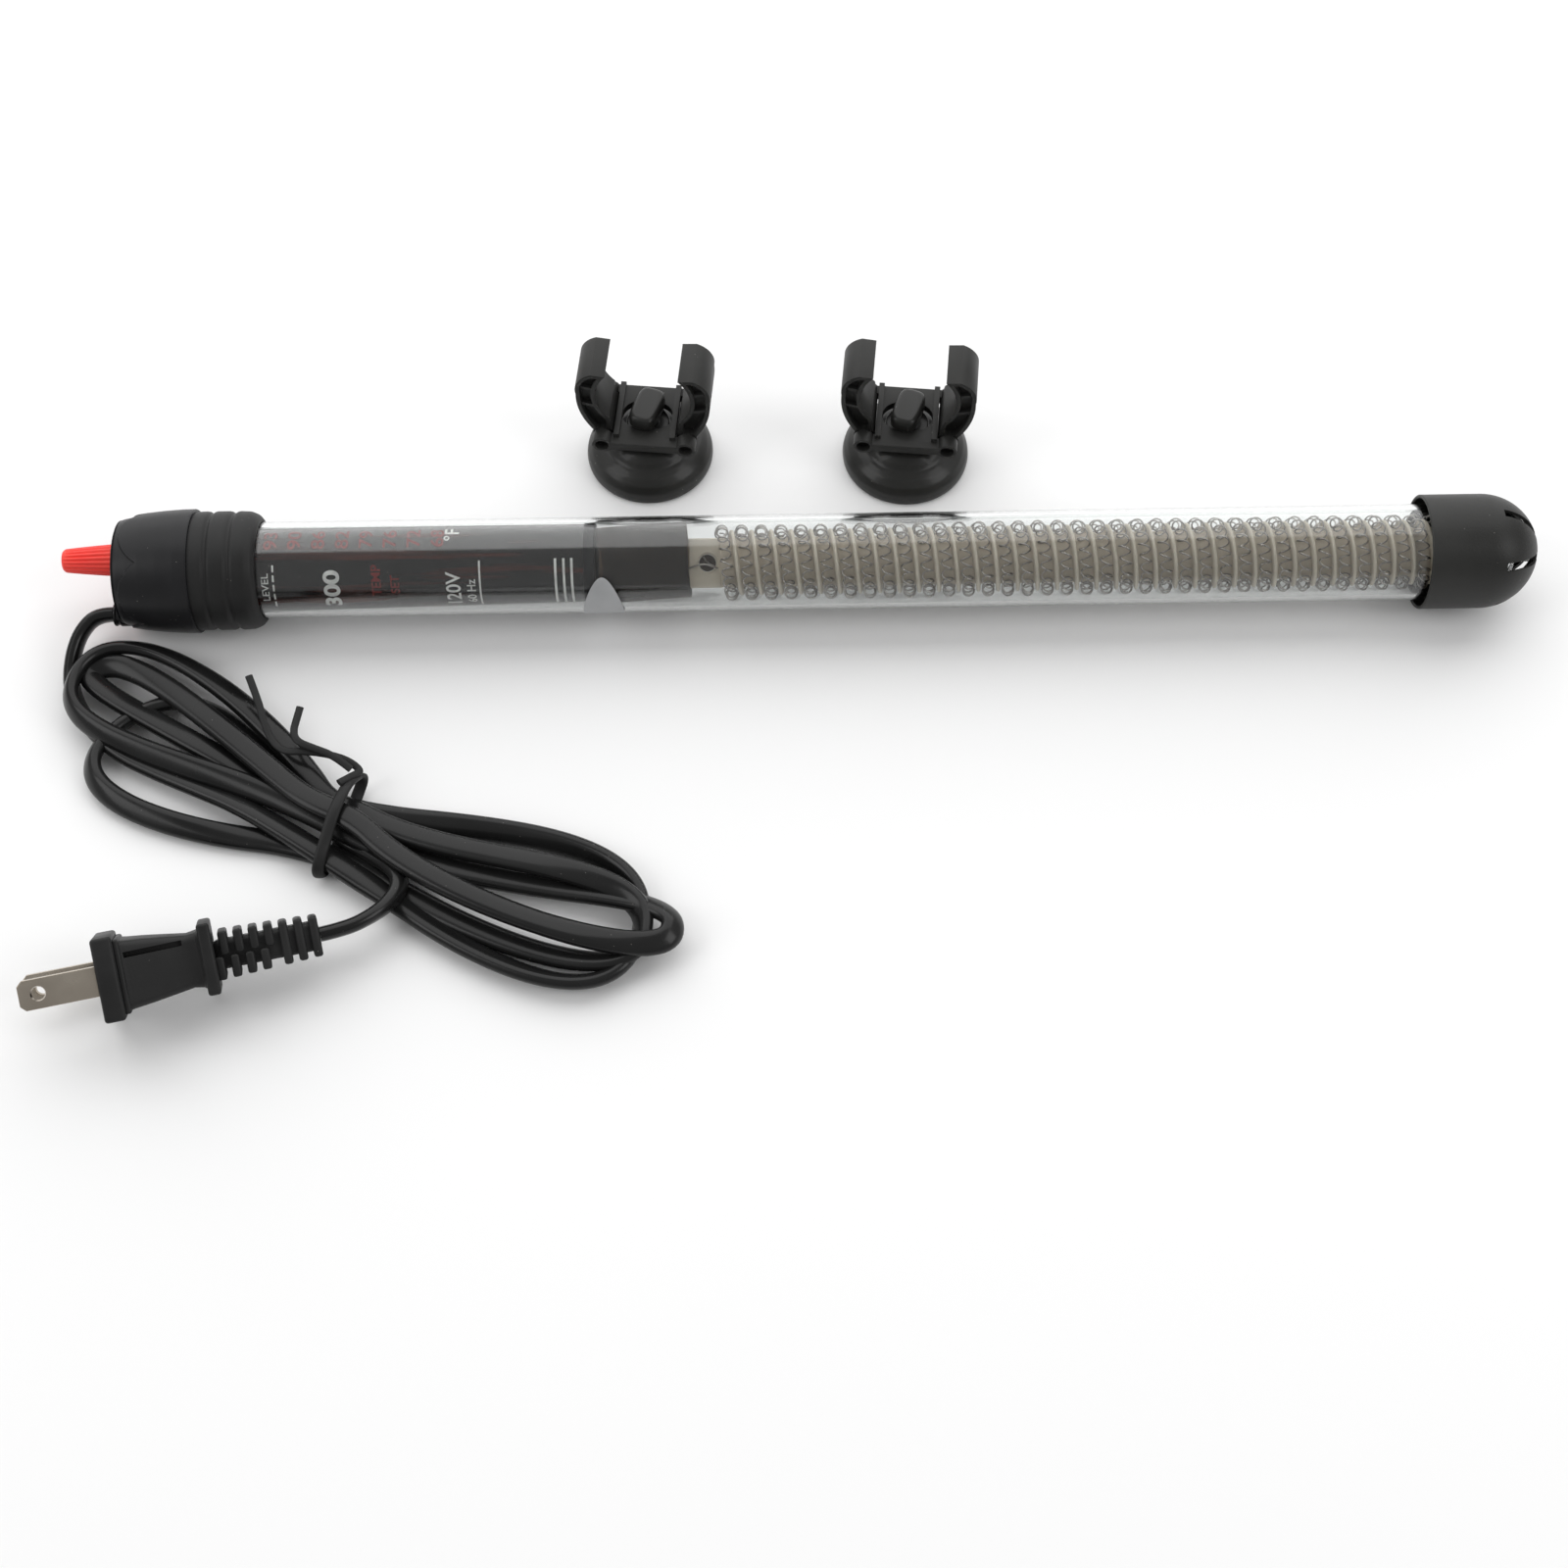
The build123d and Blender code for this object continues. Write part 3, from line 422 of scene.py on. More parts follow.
nodeLooks = {
    "adjusting_screw": "brass", "temperature_pointer": "knobRed", "thermostat_board": "board",
    "bimetal_strip": "bladeMetal", "bimetal_anchor": "brass", "contact_arm": "bladeMetal",
    "contact_arm_anchor": "brass", "moving_contact": "bladeMetal", "fixed_contact": "bladeMetal",
    "snap_magnet": "coilMetal",
    "filter_capacitor": "stickerGrey", "pilot_lamp": "pad", "lamp_resistor": "ceramic",
    "lead_wire_live": "pad", "lead_wire_neutral": "pad", "board_lead_live": "pad",
    "board_lead_neutral": "pad",
    "seal_plug": "sleeveRubber", "core_end_disc": "ceramic",
    "return_wire": "coilMetal", "tip_pad": "pad", "tube_sticker": "stickerGrey",
}
for node, look in nodeLooks.items():
    nodes[node].data.materials.clear()
    nodes[node].data.materials.append(looks[look])
print("materials made")

# camera, floor and light
view = {"azimuth": 1.1, "elevation": 60.0, "lens": 56.25, "place": (113.15, -326.41, 463.15)}
turnA, turnE = math.radians(view["azimuth"]), math.radians(view["elevation"])
forward = Vector((math.sin(turnA) * math.cos(turnE), math.cos(turnA) * math.cos(turnE), -math.sin(turnE)))
upward = Vector((math.sin(turnA) * math.sin(turnE), math.cos(turnA) * math.sin(turnE), math.cos(turnE)))
rightward = Vector((math.cos(turnA), -math.sin(turnA), 0))
camera = bpy.data.objects.new("camera", bpy.data.cameras.new("camera"))
camera.data.lens = view["lens"]
camera.data.sensor_width = 36
camera.data.clip_start, camera.data.clip_end = 0.01, 20
camera.matrix_world = Matrix.Translation(Vector(view["place"]) * mm) @ Matrix(
    (rightward, upward, -forward)).transposed().to_4x4()
scene.collection.objects.link(camera)
scene.camera = camera

floorLook = newSurface("studioFloor", (0.86, 0.86, 0.86), rough=0.6)
detailed(floorLook, (40, 0.02, 0.0001), (0.5, 0.6), 4, tint=(0.87, 0.87, 0.87))
floorSize = 6000
floor = meshPiece("studioFloor",
                  [(-floorSize, -floorSize, floorZ - 0.05), (floorSize, -floorSize, floorZ - 0.05),
                                  (floorSize, floorSize, floorZ - 0.05),
                   (-floorSize, floorSize, floorZ - 0.05)],
                  [(0, 1, 2, 3)], floorLook)

world = bpy.data.worlds.new("studio")
world.use_nodes = True
world.node_tree.nodes["Background"].inputs["Color"].default_value = (1, 1, 1, 1)
world.node_tree.nodes["Background"].inputs["Strength"].default_value = 0.42
scene.world = world
scene.view_settings.view_transform = "Standard"

lamps = [
    {"name": "backPanel", "place": (0.1, 0.72, 0.68), "aim": (0.1, 0, 0), "size": (2.4, 1.57), "power": 18},
    {"name": "leftPanel", "place": (-0.9, -0.3, 0.9), "aim": (0.05, 0, 0), "size": (0.6, 0.8), "power": 4},
    {"name": "rightPanel", "place": (1.1, -0.4, 0.8), "aim": (0.15, 0, 0), "size": (0.6, 0.8), "power": 4},
]
for lamp in lamps:
    light = bpy.data.lights.new(lamp["name"], "AREA")
    light.shape = "RECTANGLE"
    light.size, light.size_y = lamp["size"]
    light.energy = lamp["power"]
    holder = bpy.data.objects.new(lamp["name"], light)
    holder.location = lamp["place"]
    holder.rotation_euler = (Vector(lamp["aim"]) - Vector(lamp["place"])).to_track_quat("-Z", "Y").to_euler()
    scene.collection.objects.link(holder)
print("camera and light made")

# cord
cordLook = {"width": 5.6, "thickness": 3.3, "section": 20, "smoothness": 6}

# listed route: from the gland down to the floor and along the lower side of the tied waist;
# heights above the floor
leadRoute = [
    (-34.6, -7.86, 8.7, 115), (-38.6, -7.86, 8.7, 110), (-42.2, -11.2, 7.2, 100), (-44.0, -16.2, 5.4, 92),
    (-44.3, -22.0, 3.6, 80), (-42.8, -27.8, 2.8, 62), (-38.6, -34.6, 2.5, 45), (-31.5, -41.2, 2.3, 30),
    (-22.5, -46.2, 2.4, 30), (-12.0, -51.4, 3.4, 30), (-2.6, -56.3, 4.4, 30), (9.9, -64.5, 4.6, 20),
    (20.0, -71.5, 4.0, 10),
]

# each fold of the hank goes from the waist to its tip and back; heights and rolls are at its start, quarter
# way, tip, three quarters and end
folds = [
    {"start": (34, -81), "leave": (19, -16), "tip": (86.2, -91.6), "turn": 73, "slow": (20, 22),
     "come": (38, -4), "end": (31.6, -60), "height": (2.6, 2.4, 2.7, 2.4, 3.2),
     "roll": (30, 50, 70, 55, 20)},
    {"start": (18, -57.7), "leave": (-13, 23), "tip": (-40.5, -19.1), "turn": -127, "slow": (19, 26),
     "come": (-24, 15), "end": (15.8, -60.4), "height": (5.0, 5.6, 6.8, 5.8, 5.2),
     "roll": (20, -35, -75, -40, -10)},
    {"start": (28, -67), "leave": (20, -11), "tip": (94.2, -88.4), "turn": -74, "slow": (10, 17),
     "come": (13, -19), "end": (24.2, -63), "height": (3.6, 3.4, 6.6, 7.6, 8.6),
     "roll": (0, 20, 45, -12, 0)},
    {"start": (13.2, -57.6), "leave": (-17, 15), "tip": (-37.0, -19.6), "turn": -166, "slow": (10, 13),
     "come": (-20, 15), "end": (4, -52), "height": (8.4, 6.6, 5.2, 4.8, 3.4), "roll": (0, 8, 30, 20, 0)},
    {"start": (21.1, -57.8), "leave": (22, -18), "tip": (87.6, -91.4), "turn": -106, "slow": (21, 12),
     "come": (20, -13), "end": (36.2, -79.1), "height": (5.6, 7.0, 5.0, 3.0, 2.2),
     "roll": (0, 5, -60, -20, 0)},
    {"start": (6.4, -64.7), "leave": (-22, 2), "tip": (-33.4, -36.2), "turn": 47, "slow": (22, 17),
     "come": (-20, 25), "end": (8, -50), "height": (1.8, 2.2, 2.6, 2.2, 1.8), "roll": (0, 30, 70, 50, 10)},
]
waistLinks = {4: [(20.0, -69.0, 2.0, 0)]}        # between one fold and the next

tailRoute = [
    (20.0, -63.0, 2.0, 0), (29.0, -69.0, 3.2, 0), (34.0, -74.4, 4.8, 40), (34.4, -79.4, 6.0, 75),
    (32.0, -83.8, 7.4, 95), (28.8, -87.0, 8.4, 110), (24.2, -89.8, 8.9, 118), (18.8, -91.3, 9.3, 120),
]


def bezier(a, b, c, d, t):
    return a * (1 - t) ** 3 + b * 3 * t * (1 - t) ** 2 + c * 3 * t * t * (1 - t) + d * t ** 3


def between(values, t):
    spot = min(t * (len(values) - 1), len(values) - 1.0001)
    k = int(spot)
    return values[k] + (values[k + 1] - values[k]) * (spot - k)


def foldPoints(fold, steps=8):
    start, tip, end = (Vector(fold[key]) for key in ("start", "tip", "end"))
    turn = math.radians(fold["turn"])
    heading = Vector((math.cos(turn), math.sin(turn)))
    out = [start, start + Vector(fold["leave"]), tip - heading * fold["slow"][0], tip]
    back = [tip, tip + heading * fold["slow"][1], end + Vector(fold["come"]), end]
    result = []
    for k in range(2 * steps + 1):
        t = k / steps
        flat = bezier(*out, t) if t <= 1 else bezier(*back, t - 1)
        result.append((flat.x, flat.y, between(fold["height"], t / 2), between(fold["roll"], t / 2)))
    return result


route = list(leadRoute)
for number, fold in enumerate(folds):
    route += foldPoints(fold)
    route += waistLinks.get(number, [])
route += tailRoute

lineData = bpy.data.curves.new("cordLine", "CURVE")
lineData.dimensions = "3D"
spline = lineData.splines.new("NURBS")
spline.points.add(len(route) - 1)
for point, (x, y, h, roll) in zip(spline.points, route):
    lean = math.radians(roll)
    halfWidth, halfThick = cordLook["width"] / 2, cordLook["thickness"] / 2
    clear = abs(math.sin(lean)) * halfWidth + abs(math.cos(lean)) * halfThick + 0.05
    point.co = (x * mm, y * mm, (floorZ + max(h, clear)) * mm, 1)
spline.order_u = 3
spline.use_endpoint_u = True
spline.resolution_u = cordLook["smoothness"]
line = bpy.data.objects.new("cordLine", lineData)
scene.collection.objects.link(line)
graph = bpy.context.evaluated_depsgraph_get()
lineMesh = bpy.data.meshes.new_from_object(line.evaluated_get(graph))
centres = [v.co / mm for v in lineMesh.vertices]
bpy.data.objects.remove(line)

widths = []
rolls = [point[3] for point in route]
for i, centre in enumerate(centres):
    ahead = centres[min(i + 1, len(centres) - 1)]
    behind = centres[max(i - 1, 0)]
    heading = (ahead - behind).normalized()
    level = heading.cross(Vector((0, 0, 1))).normalized()
    rise = level.cross(heading).normalized()
    lean = math.radians(between(rolls, i / (len(centres) - 1)))
    wideAxis = level * math.cos(lean) + rise * math.sin(lean)
    widths.append((cordLook["width"], cordLook["thickness"], wideAxis, heading.cross(wideAxis)))
cord = ovalTube("cord", centres, widths, looks["cordBlack"], cordLook["section"])

# twist tie
tieLook = {"width": 2.7, "thickness": 1.2, "tail": 1.7, "tailThickness": 0.95}


def ribbon(name, points, surface, width, thickness, normalHint, smooth=10):
    data = bpy.data.curves.new(name, "CURVE")
    data.dimensions = "3D"
    strand = data.splines.new("NURBS")
    strand.points.add(len(points) - 1)
    for point, place in zip(strand.points, points):
        point.co = (*(Vector(place) * mm), 1)
    strand.order_u = 3
    strand.use_endpoint_u = True
    strand.resolution_u = smooth
    guide = bpy.data.objects.new(name, data)
    scene.collection.objects.link(guide)
    depsgraph = bpy.context.evaluated_depsgraph_get()
    mesh = bpy.data.meshes.new_from_object(guide.evaluated_get(depsgraph))
    spots = [v.co / mm for v in mesh.vertices]
    bpy.data.objects.remove(guide)
    sizes = []
    for i, spot in enumerate(spots):
        heading = (spots[min(i + 1, len(spots) - 1)] - spots[max(i - 1, 0)]).normalized()
        outward = normalHint(spot)
        outward = (outward - heading * outward.dot(heading)).normalized()
        sizes.append((width, thickness, heading.cross(outward), outward))
    return ovalTube(name, spots, sizes, surface, 14)


tieCentre = Vector((19.2, -62.0, floorZ + 5.2))
tieRing = [
    (23.6, -51.6, floorZ + 7.2), (22.6, -54.6, floorZ + 10.6), (21.2, -58.6, floorZ + 11.4),
    (19.6, -63.2, floorZ + 11.0), (18.2, -67.4, floorZ + 8.6), (17.0, -71.4, floorZ + 7.2),
    (16.0, -74.0, floorZ + 4.6), (16.6, -73.4, floorZ + 1.4), (18.6, -68.0, floorZ + 0.75),
    (20.6, -60.0, floorZ + 0.75), (22.8, -53.0, floorZ + 1.0), (24.4, -49.8, floorZ + 3.6),
    (24.2, -50.2, floorZ + 6.4), (22.4, -52.6, floorZ + 8.4),
]
tieLong = [
    (20.6, -55.4, floorZ + 11.6), (23.6, -52.0, floorZ + 9.4), (24.6, -50.0, floorZ + 7.4),
    (21.6, -47.8, floorZ + 8.6), (16.8, -47.0, floorZ + 10.2), (11.8, -46.4, floorZ + 10.4),
    (7.4, -46.0, floorZ + 9.6), (4.4, -43.0, floorZ + 9.4), (2.4, -38.4, floorZ + 10.2),
    (0.8, -33.2, floorZ + 11.0), (-1.6, -27.4, floorZ + 12.0),
]
tieShort = [
    (22.6, -50.8, floorZ + 9.6), (19.0, -48.0, floorZ + 10.8), (14.6, -46.6, floorZ + 11.8),
    (10.6, -45.0, floorZ + 12.2), (9.6, -42.4, floorZ + 12.2), (10.2, -39.2, floorZ + 12.4),
    (10.8, -36.4, floorZ + 12.8),
]
awayFromWaist = lambda spot: Vector((0, spot.y - tieCentre.y, spot.z - tieCentre.z))
upwards = lambda spot: Vector((0.1, -0.3, 1))
tie = joined("twistTie", [
    ribbon("tieRing", tieRing, looks["tieBlack"], tieLook["width"], tieLook["thickness"], awayFromWaist),
    ribbon("tieLong", tieLong, looks["tieBlack"], tieLook["tail"], tieLook["tailThickness"], upwards),
    ribbon("tieShort", tieShort, looks["tieBlack"], tieLook["tail"], tieLook["tailThickness"], upwards),
])
print("tie made")

# plug
plugLook = {"heading": 194.25, "rise": 4.7, "roll": 57.0, "front": (18.5, 17.7, 4.4),
            "rear": (16.0, 15.2, 2.7),
            "body": 17.0, "relief": 22.0, "rings": 7}
bearing, lift, spin = (math.radians(plugLook[key]) for key in ("heading", "rise", "roll"))
plugAxis = Vector((math.cos(bearing) * math.cos(lift), math.sin(bearing) * math.cos(lift), math.sin(lift)))
level = plugAxis.cross(Vector((0, 0, 1))).normalized()
level = level if level.y < 0 else -level
square = level.cross(plugAxis)
square = square if square.z > 0 else -square
plugSide = level * math.cos(spin) + square * math.sin(spin)
plugPlace = placing((-25.75, -102.65, -1.0), plugAxis, plugSide)
frontW, frontH, frontT = plugLook["front"]
rearW, rearH, rearT = plugLook["rear"]
rearAt = -frontT - plugLook["body"]
plugParts = [
    prism("front", rectangle(frontW, frontH), -frontT, 0, looks["plugBlack"], plugPlace, 0.7),
    prism("frontStep", rectangle(frontW - 2.6, frontH - 2.0), -frontT - 1.2, -frontT + 0.2,
          looks["plugBlack"],
          plugPlace, 0.5),
    prism("rear", rectangle(rearW, rearH), rearAt - rearT, rearAt, looks["plugBlack"], plugPlace, 0.6),
]
waistRings = [(-frontT - 0.3, 14.6, 15.0), (-frontT - 2.2, 13.4, 14.4), (-frontT - 6.0, 12.2, 13.6),
              (-frontT - 11.0, 10.6, 12.2), (rearAt + 2.6, 9.6, 11.2), (rearAt + 0.6, 10.6, 11.8),
              (rearAt - 0.2, 12.4, 12.8)]
corner = 1.6
points, faces = [], []
for distance, width, height in waistRings:
    for qx, qy, first in ((1, -1, -90), (1, 1, 0), (-1, 1, 90), (-1, -1, 180)):
        for k in range(5):
            turn = math.radians(first + 90 * k / 4)
            u = qx * (width / 2 - corner) + corner * math.cos(turn)
            v = qy * (height / 2 - corner) + corner * math.sin(turn)
            points.append(plugPlace[0] + plugAxis * distance + plugPlace[2] * u + plugPlace[3] * v)
for row in range(len(waistRings) - 1):
    for k in range(20):
        a, b = row * 20 + k, row * 20 + (k + 1) % 20
        faces.append((a, b, b + 20, a + 20))
faces += [tuple(range(20)), tuple(reversed(range(len(points) - 20, len(points))))]
waist = meshPiece("waist", points, faces, looks["plugBlack"], 30)
slotCutter = prism("slot", [(3.6, 3.7), (9.0, 3.7), (9.0, 4.9), (3.6, 4.9)], -frontT - 13.5, -frontT - 1.6,
                   looks["plugBlack"], plugPlace, 0)
cutting = waist.modifiers.new("slot", "BOOLEAN")
cutting.operation, cutting.object, cutting.solver = "DIFFERENCE", slotCutter, "EXACT"
bakeModifiers(waist)
bpy.data.objects.remove(slotCutter)
plugParts.append(waist)
plugBody = joined("plugBody", plugParts)

reliefAt = rearAt - rearT
reliefParts = [prism("reliefCore", rectangle(6.6, 6.2), reliefAt - plugLook["relief"], reliefAt + 0.2,
                     looks["plugBlack"], (plugPlace[0], plugAxis, plugPlace[2], plugPlace[3]), 1.2)]
ringStep = plugLook["relief"] / plugLook["rings"]
for k in range(plugLook["rings"]):
    share = k / (plugLook["rings"] - 1)
    width, height = 10.8 - 1.8 * share, 10.2 - 1.6 * share
    near = reliefAt - (k + 1) * ringStep + ringStep * 0.62
    far = near - ringStep * 0.6
    if k < 4:
        for half, shift in ((1, 0.0), (-1, ringStep * 0.45)):
            outline = [(-width / 2, half * 0.2), (width / 2, half * 0.2), (width / 2, half * height / 2),
                       (-width / 2, half * height / 2)]
            reliefParts.append(prism("reliefHalf", outline, far + shift, near + shift, looks["plugBlack"],
                                     plugPlace, 0.5))
    else:
        reliefParts.append(prism("reliefDisc", rectangle(width, height), far, near, looks["plugBlack"],
                                 plugPlace,
                                 0.6))
relief = joined("strainRelief", reliefParts)

bladeLook = {"width": 6.35, "thickness": 1.5, "length": 16.0, "seat": 3.6, "tipWidth": 4.2, "tipCut": 1.1,
             "hole": 1.6, "holeAt": 12.0, "spacing": 12.7}
bladeSide, bladeFace = bladeLook["width"] / 2, bladeLook["thickness"] / 2
tipX, tipSide, cornerX = bladeLook["length"], bladeLook["tipWidth"] / 2, bladeLook["length"] - bladeLook["tipCut"]
hole = bladeLook["hole"]
for name, node, sign in (("bladeNear", "plug_blade_near", 1), ("bladeFar", "plug_blade_far", -1)):
    bladePlace = (plugPlace[0] + plugSide * sign * bladeLook["spacing"] / 2, plugSide, plugAxis,
                  plugPlace[3])
    outline = [(-bladeLook["seat"], -bladeSide), (cornerX, -bladeSide), (tipX, -tipSide),
               (tipX, tipSide), (cornerX, bladeSide), (-bladeLook["seat"], bladeSide)]
    blade = prism(name, outline, -bladeFace, bladeFace, looks["bladeMetal"], bladePlace, 0.14)
    drill = lathe("drill", [(-3, 0), (-3, hole), (-0.8, hole), (0, hole - 0.25), (0.8, hole), (3, hole), (3, 0)],
                  looks["bladeMetal"], (bladePlace[0] + plugAxis * bladeLook["holeAt"], plugSide, plugAxis,
                                        plugPlace[3]), 40)
    cutting = blade.modifiers.new("hole", "BOOLEAN")
    cutting.operation, cutting.object, cutting.solver = "DIFFERENCE", drill, "EXACT"
    bakeModifiers(blade)
    bpy.data.objects.remove(drill)
    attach(blade, "heater")
    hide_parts(node)
print("plug made")

for piece, slotName, hidden in ((cord, "cord_black", ("cord_lead", "cord_hank", "cord_tail")),
                                (tie, "tie_black", ("twist_tie",)), (plugBody, "plug_black", ("plug_body",)),
                                (relief, "plug_black", ("plug_strain_relief",))):
    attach(piece, "heater")
    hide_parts(*hidden)

# glass tube, guard cap and tip
tubePlace = placing((0, 0, 0), (1, 0, 0), (0, -1, 0))


def arc(centre, radius, first, last, steps):
    return [(centre + radius * math.cos(math.radians(first + (last - first) * k / steps)),
             radius * math.sin(math.radians(first + (last - first) * k / steps))) for k in range(steps + 1)]


glassLook = {"radius": 11.0, "bore": 9.85, "end": 277.0, "start": -13.5}
outerWall = [(glassLook["start"] + 240.0 * k / 24, glassLook["radius"]) for k in range(25)]
innerWall = [(d, glassLook["bore"]) for d, r in reversed(outerWall)]
glassProfile = outerWall + arc(glassLook["end"], glassLook["radius"], 90, 0, 24)[:-1]
glassProfile += [(glassLook["end"] + glassLook["radius"], 0), (glassLook["end"] + glassLook["bore"], 0)]
glassProfile += arc(glassLook["end"], glassLook["bore"], 0, 90, 24)[1:] + innerWall
glass = lathe("glassTube", glassProfile, looks["clearGlass"], tubePlace, 160)
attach(glass, "heater")
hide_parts("glass_tube")

guardLook = {"rim": 265.8, "radius": 13.15, "inner": 12.4, "nose": 292.9, "slots": 6, "slotWidth": 2.0,
             "slotStart": 283.0, "hub": 3.0, "firstSlot": 37.0, "ribReach": 11.08, "ribWidth": 1.0}
bend = guardLook["nose"] - guardLook["radius"]
guardProfile = [(guardLook["rim"] + 0.25, guardLook["radius"]), (guardLook["rim"] + 4, guardLook["radius"])]
guardProfile += [(bend - 5, guardLook["radius"])] + arc(bend, guardLook["radius"], 90, 0, 36)[:-1]
guardProfile += [(guardLook["nose"], 0), (bend + guardLook["inner"], 0)]
guardProfile += arc(bend, guardLook["inner"], 0, 90, 36)[1:] + [(bend - 5, guardLook["inner"])]
guardProfile += [(guardLook["rim"] + 4, guardLook["inner"]), (guardLook["rim"] + 0.25, guardLook["inner"]),
                 (guardLook["rim"], guardLook["inner"] + 0.2), (guardLook["rim"], guardLook["radius"] - 0.2)]
guard = lathe("guardCap", guardProfile, looks["guardBlack"], tubePlace, 192)
slotCutters = []
for k in range(guardLook["slots"]):
    angle = math.radians(guardLook["firstSlot"] + k * 360 / guardLook["slots"])
    out = Vector((0, -math.cos(angle), math.sin(angle)))
    slotPlace = (Vector((0, 0, 0)), Vector((1, 0, 0)), out, Vector((1, 0, 0)).cross(out))
    half = guardLook["slotWidth"] / 2
    outline = [(guardLook["hub"], -half), (guardLook["radius"] + 3, -half), (guardLook["radius"] + 3, half),
               (guardLook["hub"], half)]
    slotCutters.append(prism("slot", outline, guardLook["slotStart"], guardLook["nose"] + 3,
                             looks["guardBlack"],
                             slotPlace, 0))
cutter = joined("slots", slotCutters)
cutting = guard.modifiers.new("slots", "BOOLEAN")
cutting.operation, cutting.object, cutting.solver = "DIFFERENCE", cutter, "EXACT"
bakeModifiers(guard)
bpy.data.objects.remove(cutter)
guardParts = [guard]
for k in range(guardLook["slots"]):
    angle = math.radians(guardLook["firstSlot"] + (k + 0.5) * 360 / guardLook["slots"])
    out = Vector((0, -math.cos(angle), math.sin(angle)))
    ribPlace = (Vector((0, 0, 0)), Vector((1, 0, 0)), out, Vector((1, 0, 0)).cross(out))
    half = guardLook["ribWidth"] / 2
    outline = [(guardLook["ribReach"], -half), (guardLook["inner"] + 0.2, -half),
               (guardLook["inner"] + 0.2, half), (guardLook["ribReach"], half)]
    guardParts.append(prism("rib", outline, guardLook["rim"] + 3, glassLook["end"], looks["guardBlack"],
                            ribPlace,
                            0.15))
guard = joined("guardCap", guardParts)
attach(guard, "heater")
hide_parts("guard_cap")
print("glass and guard made")

# head: cap, sleeve, gland and knob
headLook = {"petals": 5, "firstPetal": 28.0, "petalRadius": 9.2, "petalCentre": -21.8, "step": 0.5,
            "edge": 0.2,
            "bandGroove": 0.7}


def raised(distance, radius, turn):
    best = distance - headLook["petalCentre"]
    for k in range(headLook["petals"]):
        away = -turn - math.radians(headLook["firstPetal"] + k * 360 / headLook["petals"])
        if math.cos(away) > 0:
            best = max(best, headLook["petalRadius"] - math.hypot(distance - headLook["petalCentre"],
                                                                   radius * math.sin(away)))
    share = min(1, max(0, best / headLook["edge"] + 0.5))
    return radius - headLook["step"] * (1 - share * share * (3 - 2 * share))


def capRadius(distance):
    knots = [(-32.5, 12.2), (-31.2, 12.65), (-29.0, 13.05), (-26.0, 13.5), (-22.0, 13.9), (-18.0, 14.15),
             (-14.9, 14.2)]
    for (a, ra), (b, rb) in zip(knots, knots[1:]):
        if distance <= b:
            return ra + (rb - ra) * (distance - a) / (b - a)
    return knots[-1][1]


capProfile = [(-32.5, 0), (-32.5, 4.0), (-32.5, 8.0), (-32.5, 11.0)]
capProfile += [(-32.45, 11.5), (-32.3, 11.85), (-32.05, 12.12)]
rows = 128
capProfile += [(-31.8 + 16.6 * k / rows, capRadius(-31.8 + 16.6 * k / rows)) for k in range(rows + 1)]
capProfile += [(-14.95, 14.1), (-14.9, 13.9), (-14.9, 12.5), (-24.0, 11.7), (-27.4, 10.4), (-27.4, 0)]
cap = lathe("headCap", capProfile, looks["headBlack"], tubePlace, 480, closed=False,
            reach=lambda d, r, t: raised(d, r, t) if r > 11.9 and d < -15.2 else r)
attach(cap, "heater")
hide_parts("head_cap")

groove = headLook["bandGroove"]
sleeveOuter = [(-14.85, 13.55), (-11.9, 13.6), (-11.1, 13.6 - groove), (-10.3, 13.6), (-6.9, 13.6),
               (-6.0, 13.6 - groove), (-5.1, 13.6), (-2.4, 13.45), (-0.8, 12.75), (-0.05, 11.75), (0, 11.1)]
sleeveProfile = softened(sleeveOuter, 0.5, closed=False) + [(0, 11.06), (-14.85, 11.06)]
sleeve = lathe("headSleeve", sleeveProfile, looks["sleeveRubber"], tubePlace, 160)
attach(sleeve, "heater")
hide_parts("head_sleeve")

glandPlace = placing(knobSide * -9.6, (-1, 0, 0), (0, 0, 1))
gland = lathe("cordGland", softened([(26, 0), (26, 2.7), (32.4, 2.8), (33.1, 2.8), (33.3, 2.55), (33.9, 2.5),
                                     (34.1, 2.75), (34.6, 2.7), (34.6, 0)], 0.2, closed=False),
              looks["cordBlack"], glandPlace, 48, closed=False)
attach(gland, "heater")
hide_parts("cord_gland")

knobLook = {"flutes": 20, "depth": 0.26, "base": 3.75, "tip": 2.75, "from": 32.8, "to": 46.0}
knobPlace = placing(knobSide * 2.8, (-1, 0, 0), (0, 0, 1))


def fluted(distance, radius, turn):
    wave = abs(math.sin(turn * knobLook["flutes"] / 2))
    fade = min(1, max(0, (knobLook["to"] - 0.5 - distance) / 1.2))
    return radius - knobLook["depth"] * (1 - wave) * fade


span = knobLook["to"] - knobLook["from"]
knobProfile = [(knobLook["from"], 0), (knobLook["from"], 2.0)]
for k in range(13):
    share = k / 12
    radius = knobLook["base"] - (knobLook["base"] - knobLook["tip"]) * share ** 1.3
    knobProfile.append((knobLook["from"] + (span - 0.9) * share, radius))
knobProfile += [(knobLook["to"] - 0.5, knobLook["tip"] - 0.16),
                (knobLook["to"] - 0.15, knobLook["tip"] - 0.5),
                (knobLook["to"], knobLook["tip"] - 1.0), (knobLook["to"], 0)]
knob = lathe("adjustingKnob", knobProfile, looks["knobRed"], knobPlace, 240, closed=False,
             reach=lambda d, r, t: fluted(d, r, t) if r > 2.1 else r, sharpAbove=60)
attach(knob, "knob")
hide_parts("adjusting_knob")
print("head made")

# printed drum and its marks
drumLook = {"from": -2.4, "to": 73.8, "first": 9.6, "last": 8.85, "lift": 0.55}


